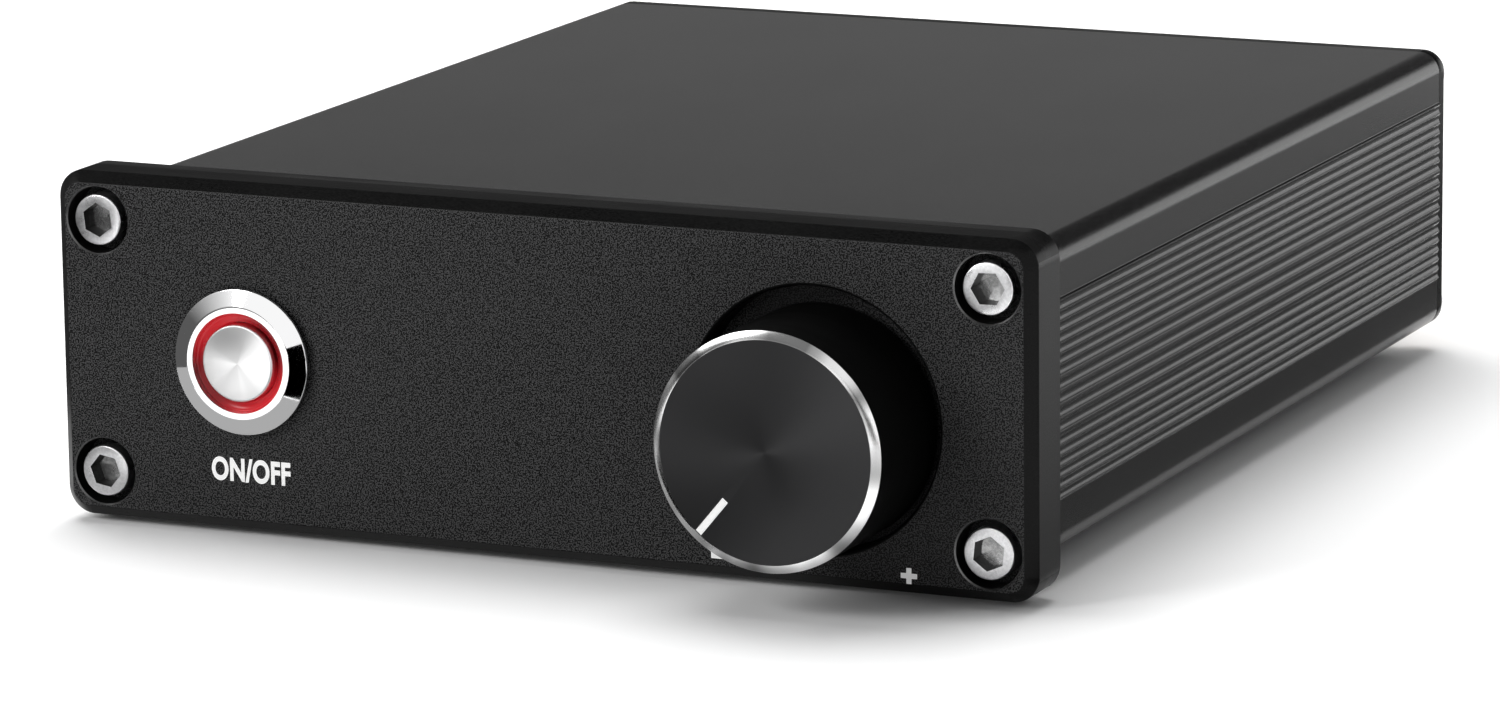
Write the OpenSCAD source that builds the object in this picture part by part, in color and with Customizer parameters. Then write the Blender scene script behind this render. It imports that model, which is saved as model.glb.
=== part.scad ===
// Phono preamp: a thick front panel on an extruded aluminium case, with a lit power button, a volume
// knob, and phono sockets, a ground post and a power socket on the rear panel.
// +X is to the right seen from the front, +Y runs from the front to the rear, and +Z is up.
// The origin is on the surface it stands on, under the middle of the whole object.

/* [Case] */
// Width of the front panel
panel_w = 112; // [110:0.5:118]
// Height of the front panel
panel_h = 37.5; // [37:0.5:40]
// Thickness of the front panel
panel_t = 7; // [6.5:0.5:8]
// Corner radius of the front panel
panel_corner = 3; // [2.5:0.5:4]
// Bevel round the face of the front panel
panel_bevel = 1.2; // [0.6:0.1:1.6]
// How far the front panel stands out past the case, all round
panel_overhang = 2.3; // [2:0.1:2.6]
// Length of the extruded case
sleeve_len = 126.5; // [122:0.5:150]
// Thickness of the extrusion's side walls
side_wall = 2.2; // [2:0.1:2.6]
// Thickness of the extrusion's top and bottom walls
flat_wall = 1.6; // [1.4:0.1:2]
// Thickness of the rear panel
rear_t = 2; // [1.5:0.5:3]
// Height of the rubber feet
foot_h = 3; // [2.5:0.5:6]

/* [Side ribs] */
// Number of scallops in each side wall
scallop_count = 17; // [9:1:17]
// Width of one scallop
scallop_w = 1.12; // [0.9:0.02:1.12]
// Flat land left on each of the middle ribs
rib_land = 0.34; // [0:0.02:0.34]
// How far the ribs stand out from the side wall
rib_proud = 0.22; // [0.1:0.02:0.25]

/* [Volume knob] */
// Diameter of the knob
knob_d = 25; // [22:0.5:26]
// How far the knob stands out from the front panel
knob_reach = 12.1; // [10:0.1:16]
// Height of the knob's axis above the bottom of the front panel
knob_z = 16.55; // [16.3:0.05:17.3]
// Diameter of the round recess behind the knob
recess_d = 27.8; // [27.8:0.2:29]
// Turn of the knob from one end of its track to the other
knob_travel = 280; // [200:5:300]

/* [Power button] */
// Diameter of the switch's flange
flange_d = 15.7; // [15:0.1:18]
// Diameter of the button's face
button_d = 8.3; // [7.6:0.1:8.4]
// How far the button travels
button_travel = 2; // [1:0.1:2.5]

/* [Rear sockets] */
// Distance between neighbouring phono sockets
jack_pitch = 14.5; // [14:0.5:15]
// Diameter of a phono socket's outer barrel
jack_d = 8.3; // [8.2:0.05:8.4]
// Pitch of the ground post's thread
ground_pitch = 0.7; // [0.5:0.05:0.8]

/* [Hidden] */
$fn = 64;
cut = 1;            // how far a cutter runs past the face it opens
slack = 0.05;       // running gap between a shaft and its hole
snug = 0.02;        // gap between two pieces that are fixed to each other

// The stack from the front of the knob to the ends of the sockets
jack_flange = 2.2;
jack_barrel = 8;
collar_t = 1.2;
rear_reach = collar_t + jack_flange + jack_barrel;
back = panel_t + sleeve_len;                        // inner face of the rear panel
rear = back + rear_t;                               // outer face of the rear panel
face_y = knob_reach - (knob_reach + rear + rear_reach) / 2;
base_z = foot_h - panel_overhang;

// The case
sleeve_w = panel_w - 2 * panel_overhang;
sleeve_h = panel_h - 2 * panel_overhang;
sleeve_corner = 2.5;
mid_z = panel_h / 2;
rear_bevel = 0.3;
screw_inset = 5.1;                                  // corner screw to the panel's edges
screw_r = 1.45;
channel_r = 1.5;
channel_boss_r = 2.6;
clearance_r = 1.7;
head_r = 2.75;
head_h = 3;
head_bore_r = 3.6;
head_bore_depth = 3.1;
head_edge = 0.2;
hex_af = 3.2;
hex_turns = [10, 36, 24, 58];                       // where each screw stopped
socket_depth = 1.8;
screw_len = 9;
rear_head_r = 2.6;
rear_head_h = 1.65;
rear_head_rim = 0.6;
rear_hex_af = 2;
rear_socket = 1.1;
rear_screw_len = 6;
foot_r = 5;
foot_edge = 0.5;
foot_inset_x = 13;
foot_inset_y = 15;

// The ribbed sides
wide_first = 6;                                     // scallops above the first wide rib
wide_count = 5;
rib_zone = scallop_count * scallop_w + wide_count * rib_land;
scallop_r = scallop_w / 2 / sin(45);
function wide_ribs(i) = max(0, min(wide_count, i - wide_first + 1));
function scallop_z(i) = rib_zone / 2 - (i + 0.5) * scallop_w - wide_ribs(i - 1) * rib_land;

// The circuit board
board_z = 8.4;
board_t = 1.6;
board_top = board_z + board_t;
board_w = 102.6;
board_y = 11.5;
board_len = back - board_y - 0.5;
rail = 1.2;
rail_reach = 2.2;

// The volume control
knob_x = 31.7;
recess_z = 17.35;
recess_depth = 4;
recess_bevel = 0.4;
knob_r = knob_d / 2;
knob_tuck = 3.2;                                    // how far the knob goes into its recess
rim_w = 0.93;
rim_depth = 0.5;
cavity_r = 8;
cavity_floor = 0;
pointer_w = 0.8;
pointer_from = 6.8;
pointer_depth = 0.3;
pointer_len = knob_r - rim_w - 0.05 - pointer_from;
shaft_r = 3;
shaft_front = -8.5;
flat_cut = 1.5;                                     // depth of the flat on the shaft
grub_r = 1.5;
grub_y = -3.5;
bushing_r = 3.5;
bushing_front = 0.6;
rotor_y = 9;
rotor_t = 1.5;
rotor_r = 3.9;
wiper_w = 1.2;
wiper_h = 2.2;
wiper_len = 1.7;
pot_w = 9.8;
pot_wall = 0.8;
pot_depth = 7;
pot_hollow = 5.2;
pot_lift = 0.3;                                     // gap between the control's case and the board
pot_rise = knob_z - board_top - pot_lift;           // from the bottom of its case to the knob's axis
pot_washer_r = 5.2;
pot_washer_t = 0.5;
pot_nut_af = 10;
pot_nut_t = 2;
track_t = 0.5;
pin_pitch = 2.5;
pin_w = 0.8;
pin_t = 0.4;
pin_rows = [4.4, 6.4];                              // behind the front of the control's case
pin_tail = 1;                                       // how far the pins come through the board
grub_len = 5;
grub_socket = 1.8;
shaft_flat = 8;
rest_angle = knob_travel / 2;                       // pointer from straight up, anticlockwise

// The power switch
button_x = -33.6;
button_z = 18.5;
flange_proud = 1.6;
gasket_t = 0.5;
barrel_r = 6;
barrel_end = 20;
ring_outer_r = 5.29;
ring_inner_r = 4.35;
ring_sunk = 0.5;
ring_depth = 4;
button_proud = 1.7;
button_t = 1.5;
button_edge = 0.15;
stem_r = 3.4;
stem_end = 7;
plunger_r = 4.2;
plunger_end = 12.2;
plunger_collar = 1;
plunger_stem_r = 2.6;
base_front = 12;
base_end = 27;
base_pocket_r = 3.1;
base_pocket = 6;
bore_r = plunger_r + 0.3;                           // the barrel's bore
flange_edge = 0.25;                                 // straight part of the flange's edge
flange_face_r = 5.8;                                // outside of the flat round the light ring
switch_nut_t = 2.5;
switch_nut_af = 14.5;
blade_pitch = 2.5;
blade_w = 1.6;
blade_t = 0.5;
blade_len = 5;
spring_r = 3.55;
spring_wire = 0.2;
spring_turns = 3.5;
spring_len = base_front - stem_end - plunger_collar - slack;
spring_steps = spring_turns * 14;
spring_sides = 6;

// The leads from the switch, and the plug that takes them to the board
lead_r = 0.6;
lead_bend = 2;
lead_y = 40;
header_w = 12.4;
header_len = 6;
header_h = 4.4;
header_wall = 0.8;
plug_gap = 0.1;
plug_top = 5.8;

// The rear panel
jack_xs = [41, 41 - jack_pitch, 2.5, 2.5 - jack_pitch];   // inputs right, left, outputs right, left
jack_r = jack_d / 2;
jack_stem_r = 3.2;
jack_hole_r = 4.1;
jack_tail = 11;
mouth_bevel = 0.3;
core_r = 3.13;
core_tail_r = 2.28;
core_step = collar_t + 2;
core_sunk = 0.4;
core_lip = 0.8;
contact_r = 2;
contact_bore_r = 1.6;
contact_floor = 0.8;
contact_len = 8.2;
contact_back = rear_reach - core_sunk - core_lip - contact_len;
contact_tail = 14;
contact_tail_r = 1;
tag_t = 0.5;
tag_r = 5;
tag_w = 2.4;
washer_t = 1;
washer_r = 6;
nut_t = 2.5;
nut_af = 9;
collar_r = 6.2;
jack_hex_af = 11;
dc_x = -38;
dc_z = board_top + 6.5;
dc_w = 9;
dc_h = 11;
dc_len = 14;
dc_nose_r = 4;
dc_bore_r = 2.85;
dc_pin_r = 1.05;
dc_pin_len = 8.2;
dc_tail_r = 0.6;
dc_bore_depth = 9.5;
dc_lip = 0.4;
post_x = 14.25;
post_r = 2;
post_base_t = 1.2;
post_base_r = 4.2;
post_washer_t = 1;
thumb_r = 4.25;
thumb_len = 6.5;
thumb_edge = 0.4;
knurl_r = 0.5;
knurl_step = 15;
post_reach = post_base_t + post_washer_t + thumb_len + 1;
post_tail = 8;
post_nut_t = 2.2;
post_nut_af = 7;

// What stands on the board, each place given as [x, y]
filter_places = [for (x = [-20, -6], y = [98, 112]) [x, y]];
signal_places = [for (x = [14, 42], y = [36, 50, 64]) [x, y]];
film_places = [for (x = [16, 28, 40], y = [92, 100]) [x, y]];
chip_places = [[28, 54], [28, 76]];
resistor_places = [for (x = [-20, -8, 4], y = [40 : 6 : 76]) [x, y]];
regulator_places = [[-44, 92], [-31, 92]];
filter_size = [5, 17];                              // radius and height of a can
signal_size = [3.15, 11];
can_edge = 0.4;
film_size = [7.2, 3.5, 7.5];
socket_side = 10.2;
socket_h = 4.2;
chip_size = [6.6, 9.6, 3.3];
chip_notch_r = 0.9;
resistor_size = [1.15, 6.4];                        // radius and length of the body
resistor_span = 9.4;
resistor_rise = 1.3;
wire_r = 0.3;
regulator_size = [10, 4.4, 9];
regulator_lead = 3;
regulator_pitch = 2.54;
regulator_tab = [1.3, 6.4];                         // thickness and height of the metal tab

// Places its children by x, by the distance y behind the panel's face, and by z above its bottom edge
module at(x, y, z) translate([x, face_y + y, base_z + z]) children();

// A cylinder that runs backwards from y by len
module rod(y, len, r) translate([0, y, 0]) rotate([-90, 0, 0]) cylinder(h = len, r = r);

// A cone that runs backwards from y by len
module taper(y, len, r1, r2) translate([0, y, 0]) rotate([-90, 0, 0])
    cylinder(h = len, r1 = r1, r2 = r2);

// A hexagonal bar that runs backwards from y by len, across flats af, flats facing up and down
module hex_bar(y, len, af) translate([0, y, 0]) rotate([-90, 0, 0])
    cylinder(h = len, d = af / cos(30), $fn = 6);

// A tube that runs backwards from y by len
module pipe(y, len, outer, inner) difference() {
    rod(y, len, outer);
    rod(y - cut, len + 2 * cut, inner);
}

// Stands an outline up in the XZ plane and extrudes it backwards
module slab(depth) translate([0, depth, 0]) rotate([90, 0, 0]) linear_extrude(depth) children();

// A box centred on x, from y and z upwards
module block(w, len, h) translate([-w / 2, 0, 0]) cube([w, len, h]);

// An outline with round corners, centred across, standing on its bottom edge
module rounded_rect(w, h, r) {
    translate([-w / 2 + r, 0]) square([w - 2 * r, h]);
    translate([-w / 2, r]) square([w, h - 2 * r]);
    for (x = [-1, 1], z = [r, h - r]) translate([x * (w / 2 - r), z]) circle(r);
}

// Half of a bevelled edge, seen along it: depth across, span up
module bevelled_section(span, t, bevel)
    polygon([[bevel, 0], [0, bevel], [0, span - bevel], [bevel, span], [t, span], [t, 0]]);

// A plate with round corners and a bevel round its front face
module bevelled_plate(w, h, t, r, bevel) {
    for (x = [-1, 1], z = [r, h - r]) translate([x * (w / 2 - r), 0, z]) {
        taper(0, bevel, r - bevel, r);
        rod(bevel, t - bevel, r);
    }
    translate([-w / 2 + r, 0, 0]) rotate([90, 0, 90])
        linear_extrude(w - 2 * r) bevelled_section(h, t, bevel);
    translate([-w / 2, 0, r])
        linear_extrude(h - 2 * r) mirror([1, -1, 0]) bevelled_section(w, t, bevel);
}

// Repeats its children at the four corner screws, which $corner tells apart
module at_corners(y)
    for ($corner = [0 : 3]) at(
        ($corner % 2 * 2 - 1) * (panel_w / 2 - screw_inset), y,
        $corner < 2 ? screw_inset : panel_h - screw_inset) children();

// A lead that runs backwards by run, turns down through a quarter bend, and drops by drop
module bent_lead(run, bend, drop, r) {
    rod(0, run, r);
    translate([0, run, -bend]) rotate([0, -90, 0])
        rotate_extrude(angle = 90) translate([bend, 0]) circle(r, $fn = 24);
    translate([0, run + bend, -bend - drop]) cylinder(h = drop, r = r);
}

// The front panel: a thick plate, drilled for the switch and sunk for the knob and the screw heads
module front_panel() color([0.18, 0.18, 0.19]) difference() {
    at(0, 0, 0) bevelled_plate(panel_w, panel_h, panel_t, panel_corner, panel_bevel);
    at(knob_x, 0, recess_z) {
        rod(-cut, cut + recess_depth, recess_d / 2);
        taper(-cut, cut + recess_bevel, recess_d / 2 + recess_bevel + cut, recess_d / 2);
    }
    at(knob_x, 0, knob_z) rod(0, panel_t + cut, bushing_r + 0.1);
    at(button_x, 0, button_z) rod(-cut, panel_t + 2 * cut, barrel_r + 0.1);
    at_corners(0) {
        rod(-cut, cut + head_bore_depth, head_bore_r);
        rod(0, panel_t + cut, clearance_r);
    }
}

// The outline of the extrusion, with the raised bands that the ribs are cut in
module sleeve_outline() {
    rounded_rect(sleeve_w, sleeve_h, sleeve_corner);
    for (side = [-1, 1]) polygon([for (p = [
        [-side_wall / 2, -rib_zone / 2 - rib_proud], [0, -rib_zone / 2 - rib_proud],
        [rib_proud, -rib_zone / 2], [rib_proud, rib_zone / 2],
        [0, rib_zone / 2 + rib_proud], [-side_wall / 2, rib_zone / 2 + rib_proud]
    ]) [side * (sleeve_w / 2 + p[0]), sleeve_h / 2 + side * p[1]]]);
}

// The scallops between the ribs, on both sides
module scallops() for (side = [-1, 1], i = [0 : scallop_count - 1])
    translate([side * (sleeve_w / 2 + rib_proud + scallop_r * cos(45)), sleeve_h / 2 + scallop_z(i)])
        circle(scallop_r);

// The hollow inside, less the rails that hold the board and the channels that take the screws
module sleeve_hollow() difference() {
    translate([-sleeve_w / 2 + side_wall, flat_wall])
        square([sleeve_w - 2 * side_wall, sleeve_h - 2 * flat_wall]);
    for (side = [-1, 1]) {
        for (z = [board_z - rail, board_top + 0.1])
            translate([side * (sleeve_w / 2 - side_wall - rail_reach / 2), z + rail / 2 - panel_overhang])
                square([rail_reach + 0.2, rail], center = true);
        for (z = [screw_inset, panel_h - screw_inset])
            translate([side * (panel_w / 2 - screw_inset), z - panel_overhang]) circle(channel_boss_r);
    }
}

// The extruded case: one tube, with board rails and screw channels inside and ribs outside
module case_sleeve() color([0.2, 0.2, 0.21]) at(0, panel_t, panel_overhang) slab(sleeve_len)
    difference() {
        sleeve_outline();
        sleeve_hollow();
        scallops();
        for (x = [-1, 1], z = [screw_inset, panel_h - screw_inset])
            translate([x * (panel_w / 2 - screw_inset), z - panel_overhang]) circle(channel_r);
    }

// The rear panel: a thin plate, drilled for the sockets, the ground post and the screws
module rear_panel() color([0.17, 0.17, 0.18]) difference() {
    at(0, rear, panel_overhang) mirror([0, 1, 0])
        bevelled_plate(sleeve_w, sleeve_h, rear_t, sleeve_corner, rear_bevel);
    for (x = jack_xs) at(x, back, mid_z) rod(-cut, rear_t + 2 * cut, jack_hole_r);
    at(dc_x, back, dc_z) rod(-cut, rear_t + 2 * cut, dc_nose_r + 0.1);
    at(post_x, back, mid_z) rod(-cut, rear_t + 2 * cut, post_r + 0.1);
    at_corners(back) rod(-cut, rear_t + 2 * cut, clearance_r);
}

// The four socket-head screws in the front panel, each stopped at its own angle
module front_screws() color([0.75, 0.75, 0.76]) at_corners(head_bore_depth - head_h)
    difference() {
        union() {
            taper(0, head_edge, head_r - head_edge, head_r);
            rod(head_edge, head_h - head_edge, head_r);
            rod(head_h, screw_len, screw_r);
        }
        rotate([0, hex_turns[$corner], 0]) hex_bar(-cut, cut + socket_depth, hex_af);
        taper(socket_depth, 0.6, hex_af / 2, 0.1);
    }

// The four button-head screws in the rear panel
module rear_screws() color([0.75, 0.75, 0.76]) at_corners(rear) difference() {
    union() {
        rod(0, rear_head_rim, rear_head_r);
        taper(rear_head_rim, rear_head_h - rear_head_rim, rear_head_r, rear_head_r - 0.9);
        rod(-rear_t - rear_screw_len, rear_t + rear_screw_len, screw_r);
    }
    hex_bar(rear_head_h - rear_socket, rear_socket + cut, rear_hex_af);
}

// The four rubber feet under the case
module rubber_feet() color([0.06, 0.06, 0.06])
    for (x = [-1, 1], y = [panel_t + foot_inset_y, back - foot_inset_y])
        at(x * (sleeve_w / 2 - foot_inset_x), y, panel_overhang - foot_h) {
            cylinder(h = foot_edge, r1 = foot_r - foot_edge, r2 = foot_r);
            translate([0, 0, foot_edge]) cylinder(h = foot_h - foot_edge, r = foot_r);
        }

// The switch's steel housing: a bevelled flange in front of the panel and a threaded barrel through it
module switch_housing() color([0.82, 0.82, 0.83]) at(button_x, 0, button_z) difference() {
    union() {
        rod(-gasket_t - flange_edge, flange_edge, flange_d / 2);
        taper(-flange_proud, flange_proud - gasket_t - flange_edge, flange_face_r, flange_d / 2);
        rod(-gasket_t, gasket_t + barrel_end, barrel_r);
    }
    rod(-flange_proud - cut, cut + flange_proud + ring_depth, ring_outer_r);
    rod(0, barrel_end + cut, bore_r);
}

// The rubber ring under the switch's flange
module switch_gasket() color([0.05, 0.05, 0.05]) at(button_x, -gasket_t, button_z)
    pipe(0, gasket_t, flange_d / 2 - 0.6, barrel_r + snug);

// The nut that pulls the switch against the panel
module switch_nut() color([0.7, 0.7, 0.7]) at(button_x, panel_t, button_z) difference() {
    hex_bar(0, switch_nut_t, switch_nut_af);
    rod(-cut, switch_nut_t + 2 * cut, barrel_r + snug);
}

// The clear red ring round the button, which the lamp behind it lights
module switch_light_ring() color([0.85, 0.05, 0.08]) at(button_x, 0, button_z)
    pipe(ring_sunk - flange_proud, ring_depth + flange_proud - ring_sunk, ring_outer_r - snug, ring_inner_r);

// The switch's plastic base, which closes the barrel and carries the terminals
module switch_base() color([0.08, 0.08, 0.08]) at(button_x, 0, button_z) difference() {
    union() {
        rod(base_front, barrel_end - base_front, bore_r - snug);
        rod(barrel_end, base_end - barrel_end, barrel_r - 0.1);
    }
    rod(base_front - cut, cut + base_pocket, base_pocket_r);
}

// The switch's flat solder terminals
module switch_terminals() color([0.85, 0.7, 0.4]) at(button_x, base_end, button_z)
    for (i = [-1.5 : 1.5]) translate([i * blade_pitch, 0, -blade_t / 2])
        block(blade_w, blade_len, blade_t);

// The button: a spun metal face on a stem
module button_cap() color([0.86, 0.86, 0.87]) at(button_x, 0, button_z) {
    taper(-button_proud, button_edge, button_d / 2 - button_edge, button_d / 2);
    rod(button_edge - button_proud, button_t - button_edge, button_d / 2);
    rod(button_t - button_proud, stem_end - button_t + button_proud, stem_r);
}

// The plastic plunger that the button pushes into the switch
module switch_plunger() color([0.9, 0.9, 0.88]) at(button_x, 0, button_z) {
    rod(stem_end, plunger_collar, plunger_r);
    rod(stem_end, plunger_end - stem_end, plunger_stem_r);
}

// The return spring, wound on the plunger between its collar and the base
function spring_ring(k) = let (a = k * 360 * spring_turns / spring_steps,
    y = spring_wire + (spring_len - 2 * spring_wire) * k / spring_steps)
    [for (j = [0 : spring_sides - 1])
        let (b = j * 360 / spring_sides, r = spring_r + spring_wire * cos(b))
        [r * cos(a), y + spring_wire * sin(b), r * sin(a)]];
spring_points = [for (k = [0 : spring_steps]) each spring_ring(k)];
spring_faces = concat(
    [for (k = [0 : spring_steps - 1], j = [0 : spring_sides - 1], half = [0, 1])
        let (a = k * spring_sides + j, b = k * spring_sides + (j + 1) % spring_sides)
        half == 0 ? [a, a + spring_sides, b + spring_sides] : [a, b + spring_sides, b]],
    [[for (j = [0 : spring_sides - 1]) j]],
    [[for (j = [spring_sides - 1 : -1 : 0]) spring_steps * spring_sides + j]]
);
module switch_spring() color([0.8, 0.8, 0.82]) at(button_x, base_front - spring_len, button_z)
    polyhedron(points = spring_points, faces = spring_faces);

// Turns its children with the knob, whose pointer is up before the turn
module at_knob() at(knob_x, 0, knob_z) rotate([0, -rest_angle, 0]) children();

// The knob: a turned aluminium cup with a bright bevelled rim, bored for the shaft
module knob() color([0.16, 0.16, 0.17]) at_knob() difference() {
    union() {
        taper(-knob_reach, rim_depth, knob_r - rim_w, knob_r);
        rod(rim_depth - knob_reach, knob_reach - rim_depth + knob_tuck, knob_r);
    }
    rod(cavity_floor, knob_tuck + cut, cavity_r);
    rod(shaft_front - slack, cavity_floor + cut - shaft_front, shaft_r + 0.03);
    translate([0, grub_y, 0]) cylinder(h = knob_r + cut, r = grub_r);
    translate([0, -knob_reach - cut, pointer_from]) block(pointer_w, cut + pointer_depth, pointer_len);
}

// The white line let into the knob's face
module knob_pointer() color([0.95, 0.95, 0.95]) at_knob()
    translate([0, -knob_reach, pointer_from]) block(pointer_w, pointer_depth, pointer_len);

// The grub screw that holds the knob on the flat of the shaft
module knob_set_screw() color([0.2, 0.2, 0.2]) at_knob() translate([0, grub_y, shaft_r - flat_cut])
    difference() {
        cylinder(h = grub_len, r = grub_r - snug);
        translate([0, 0, grub_len - grub_socket])
            cylinder(h = grub_socket + cut, r = grub_r / sqrt(3), $fn = 6);
    }

// The volume control's shaft, with a flat for the grub screw
module pot_shaft() color([0.75, 0.75, 0.76]) at_knob() difference() {
    rod(shaft_front, rotor_y - shaft_front, shaft_r);
    translate([0, shaft_front - cut, shaft_r - flat_cut])
        block(2 * shaft_r + cut, shaft_flat + cut, shaft_r);
}

// The rotor and its wiper, on the inner end of the shaft
module pot_wiper() color([0.85, 0.8, 0.65]) at_knob() {
    rod(rotor_y, rotor_t, rotor_r);
    translate([0, rotor_y + rotor_t, rotor_r - wiper_h - 0.3]) block(wiper_w, wiper_len, wiper_h);
}

// The control's metal front plate and threaded bushing
module pot_bushing() color([0.78, 0.78, 0.79]) at(knob_x, 0, knob_z) difference() {
    union() {
        rod(bushing_front, panel_t - bushing_front + pot_wall, bushing_r);
        translate([0, panel_t, -pot_rise]) block(pot_w, pot_wall, 2 * pot_rise);
    }
    rod(bushing_front - cut, panel_t + 2 * cut, shaft_r + slack);
}

// The control's plastic case, open in front for the rotor
module pot_body() color([0.1, 0.25, 0.2]) at(knob_x, 0, knob_z) difference() {
    translate([0, panel_t + pot_wall, -pot_rise]) block(pot_w, pot_depth, 2 * pot_rise);
    rod(panel_t, pot_wall + pot_hollow, rotor_r + 0.3);
}

// The resistive track at the back of the control's case
module pot_track() color([0.05, 0.05, 0.05])
    at(knob_x, panel_t + pot_wall + pot_hollow - track_t, knob_z)
    pipe(0, track_t, rotor_r + 0.2, 1.2);

// The control's pins, from its case down into the board
module pot_pins() color([0.8, 0.8, 0.75])
    for (i = [-1 : 1], y = pin_rows)
        at(knob_x + i * pin_pitch, panel_t + pot_wall + y, board_z - pin_tail)
        block(pin_w, pin_t, pin_tail + board_t + pot_lift);

// The washer on the control's bushing, flat on the floor of the recess
module pot_washer() color([0.75, 0.75, 0.75]) at(knob_x, recess_depth - pot_washer_t, knob_z)
    pipe(0, pot_washer_t, pot_washer_r, bushing_r + snug);

// The nut that clamps the control to the panel, hidden in the hollow of the knob
module pot_nut() color([0.75, 0.75, 0.75]) at(knob_x, recess_depth - pot_washer_t - pot_nut_t, knob_z)
    difference() {
        hex_bar(0, pot_nut_t, pot_nut_af);
        rod(-cut, pot_nut_t + 2 * cut, bushing_r + snug);
    }

// The circuit board, which slides in the rails of the case
module circuit_board() color([0.05, 0.25, 0.12]) at(0, board_y, board_z) difference() {
    block(board_w, board_len, board_t);
    for (i = [-1 : 1], y = pin_rows)
        translate([knob_x + i * pin_pitch, panel_t + pot_wall + y - 0.1 - board_y, -cut])
            block(pin_w + 0.2, pin_t + 0.2, board_t + 2 * cut);
}

// Stands its children on the board
module on_board(place) at(place[0], place[1], board_top) children();

// One can capacitor, standing upright
module can_capacitor(size) {
    cylinder(h = size[1] - can_edge, r = size[0]);
    translate([0, 0, size[1] - can_edge]) cylinder(h = can_edge, r1 = size[0], r2 = size[0] - can_edge);
}

// The large capacitors that smooth the supply
module filter_capacitors() color([0.1, 0.12, 0.3])
    for (place = filter_places) on_board(place) can_capacitor(filter_size);

// The small capacitors in the signal path
module signal_capacitors() color([0.12, 0.12, 0.12])
    for (place = signal_places) on_board(place) can_capacitor(signal_size);

// The box-shaped film capacitors of the equaliser
module film_capacitors() color([0.7, 0.12, 0.1])
    for (place = film_places) on_board(place) block(film_size[0], film_size[1], film_size[2]);

// The sockets that hold the amplifier chips, each open in the middle
module chip_sockets() color([0.07, 0.07, 0.07])
    for (place = chip_places) on_board(place) difference() {
        block(socket_side, socket_side, socket_h);
        translate([0, socket_side / 4, socket_h - 3]) block(socket_side / 2, socket_side / 2, 3 + cut);
    }

// The two amplifier chips, notched at one end
module amplifier_chips() color([0.1, 0.1, 0.1])
    for (place = chip_places) on_board(place)
        translate([0, (socket_side - chip_size[1]) / 2, socket_h]) difference() {
            block(chip_size[0], chip_size[1], chip_size[2]);
            translate([0, 0, chip_size[2]]) rod(-cut, cut + chip_notch_r, chip_notch_r);
        }

// The resistors lying on the board, each on its own two wires
module resistors() color([0.35, 0.5, 0.7])
    for (place = resistor_places) on_board(place) {
        for (bar = [resistor_size, [wire_r, resistor_span + 2 * wire_r]])
            translate([-bar[1] / 2, 0, resistor_rise]) rotate([0, 90, 0])
                cylinder(h = bar[1], r = bar[0]);
        for (side = [-1, 1]) translate([side * resistor_span / 2, 0, 0])
            cylinder(h = resistor_rise, r = wire_r);
    }

// The two voltage regulators, standing on their leads, with a drilled tab above each
module voltage_regulators() color([0.1, 0.1, 0.1])
    for (place = regulator_places) on_board(place) {
        for (i = [-1 : 1]) translate([i * regulator_pitch, regulator_size[1] / 2, 0])
            block(blade_w / 2, blade_t, regulator_lead);
        translate([0, 0, regulator_lead]) block(regulator_size[0], regulator_size[1], regulator_size[2]);
        translate([0, 0, regulator_lead + regulator_size[2]]) difference() {
            block(regulator_size[0], regulator_tab[0], regulator_tab[1]);
            translate([0, 0, regulator_tab[1] / 2]) rod(-cut, regulator_tab[0] + 2 * cut, clearance_r);
        }
    }

// The header on the board that takes the plug
module board_header() color([0.93, 0.92, 0.88]) on_board([button_x, lead_y - header_len / 2])
    difference() {
        block(header_w, header_len, header_h);
        translate([0, header_wall, header_wall])
            block(header_w - 2 * header_wall, header_len - 2 * header_wall, header_h);
    }

// The plug on the ends of the switch's leads
module lead_plug() color([0.9, 0.89, 0.85])
    on_board([button_x, lead_y - header_len / 2 + header_wall + plug_gap])
        translate([0, 0, header_wall]) block(
            header_w - 2 * header_wall - 2 * plug_gap, header_len - 2 * header_wall - 2 * plug_gap,
            plug_top - header_wall);

// The four leads from the switch's terminals down into the plug
module switch_leads() color([0.7, 0.1, 0.1])
    for (i = [-1.5 : 1.5]) at(button_x + i * blade_pitch, base_end + blade_len, button_z) bent_lead(
        lead_y - base_end - blade_len - lead_bend, lead_bend,
        button_z - lead_bend - board_top - plug_top, lead_r);

// A phono socket's gold shell: barrel, hexagonal flange and threaded stem, bored right through
module jack_shell(x) color([0.9, 0.72, 0.32]) at(x, rear, mid_z) difference() {
    union() {
        rod(collar_t + jack_flange, jack_barrel - mouth_bevel, jack_r);
        taper(rear_reach - mouth_bevel, mouth_bevel, jack_r, jack_r - mouth_bevel);
        hex_bar(collar_t, jack_flange, jack_hex_af);
        rod(-jack_tail, jack_tail + collar_t, jack_stem_r);
    }
    rod(core_step, rear_reach, core_r + snug);
    rod(-jack_tail - cut, jack_tail + core_step + 2 * cut, core_tail_r + snug);
}

// A phono socket's centre contact: a sprung tube with a solder tail
module jack_contact(x) color([0.9, 0.74, 0.36]) at(x, rear, mid_z) difference() {
    union() {
        rod(contact_back, contact_len, contact_r);
        rod(-contact_tail, contact_tail + contact_back, contact_tail_r);
    }
    rod(contact_back + contact_floor, contact_len, contact_bore_r);
}

// The plastic core that holds a contact in the middle of its shell
module jack_core(x) at(x, rear, mid_z) difference() {
    union() {
        rod(core_step, rear_reach - core_sunk - core_step, core_r);
        rod(-jack_tail, jack_tail + core_step, core_tail_r);
    }
    rod(contact_back, contact_len, contact_r + snug);
    rod(contact_back + contact_floor, contact_len + cut, contact_bore_r + 0.1);
    rod(-jack_tail - cut, jack_tail + contact_back + 2 * cut, contact_tail_r + snug);
}

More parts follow.
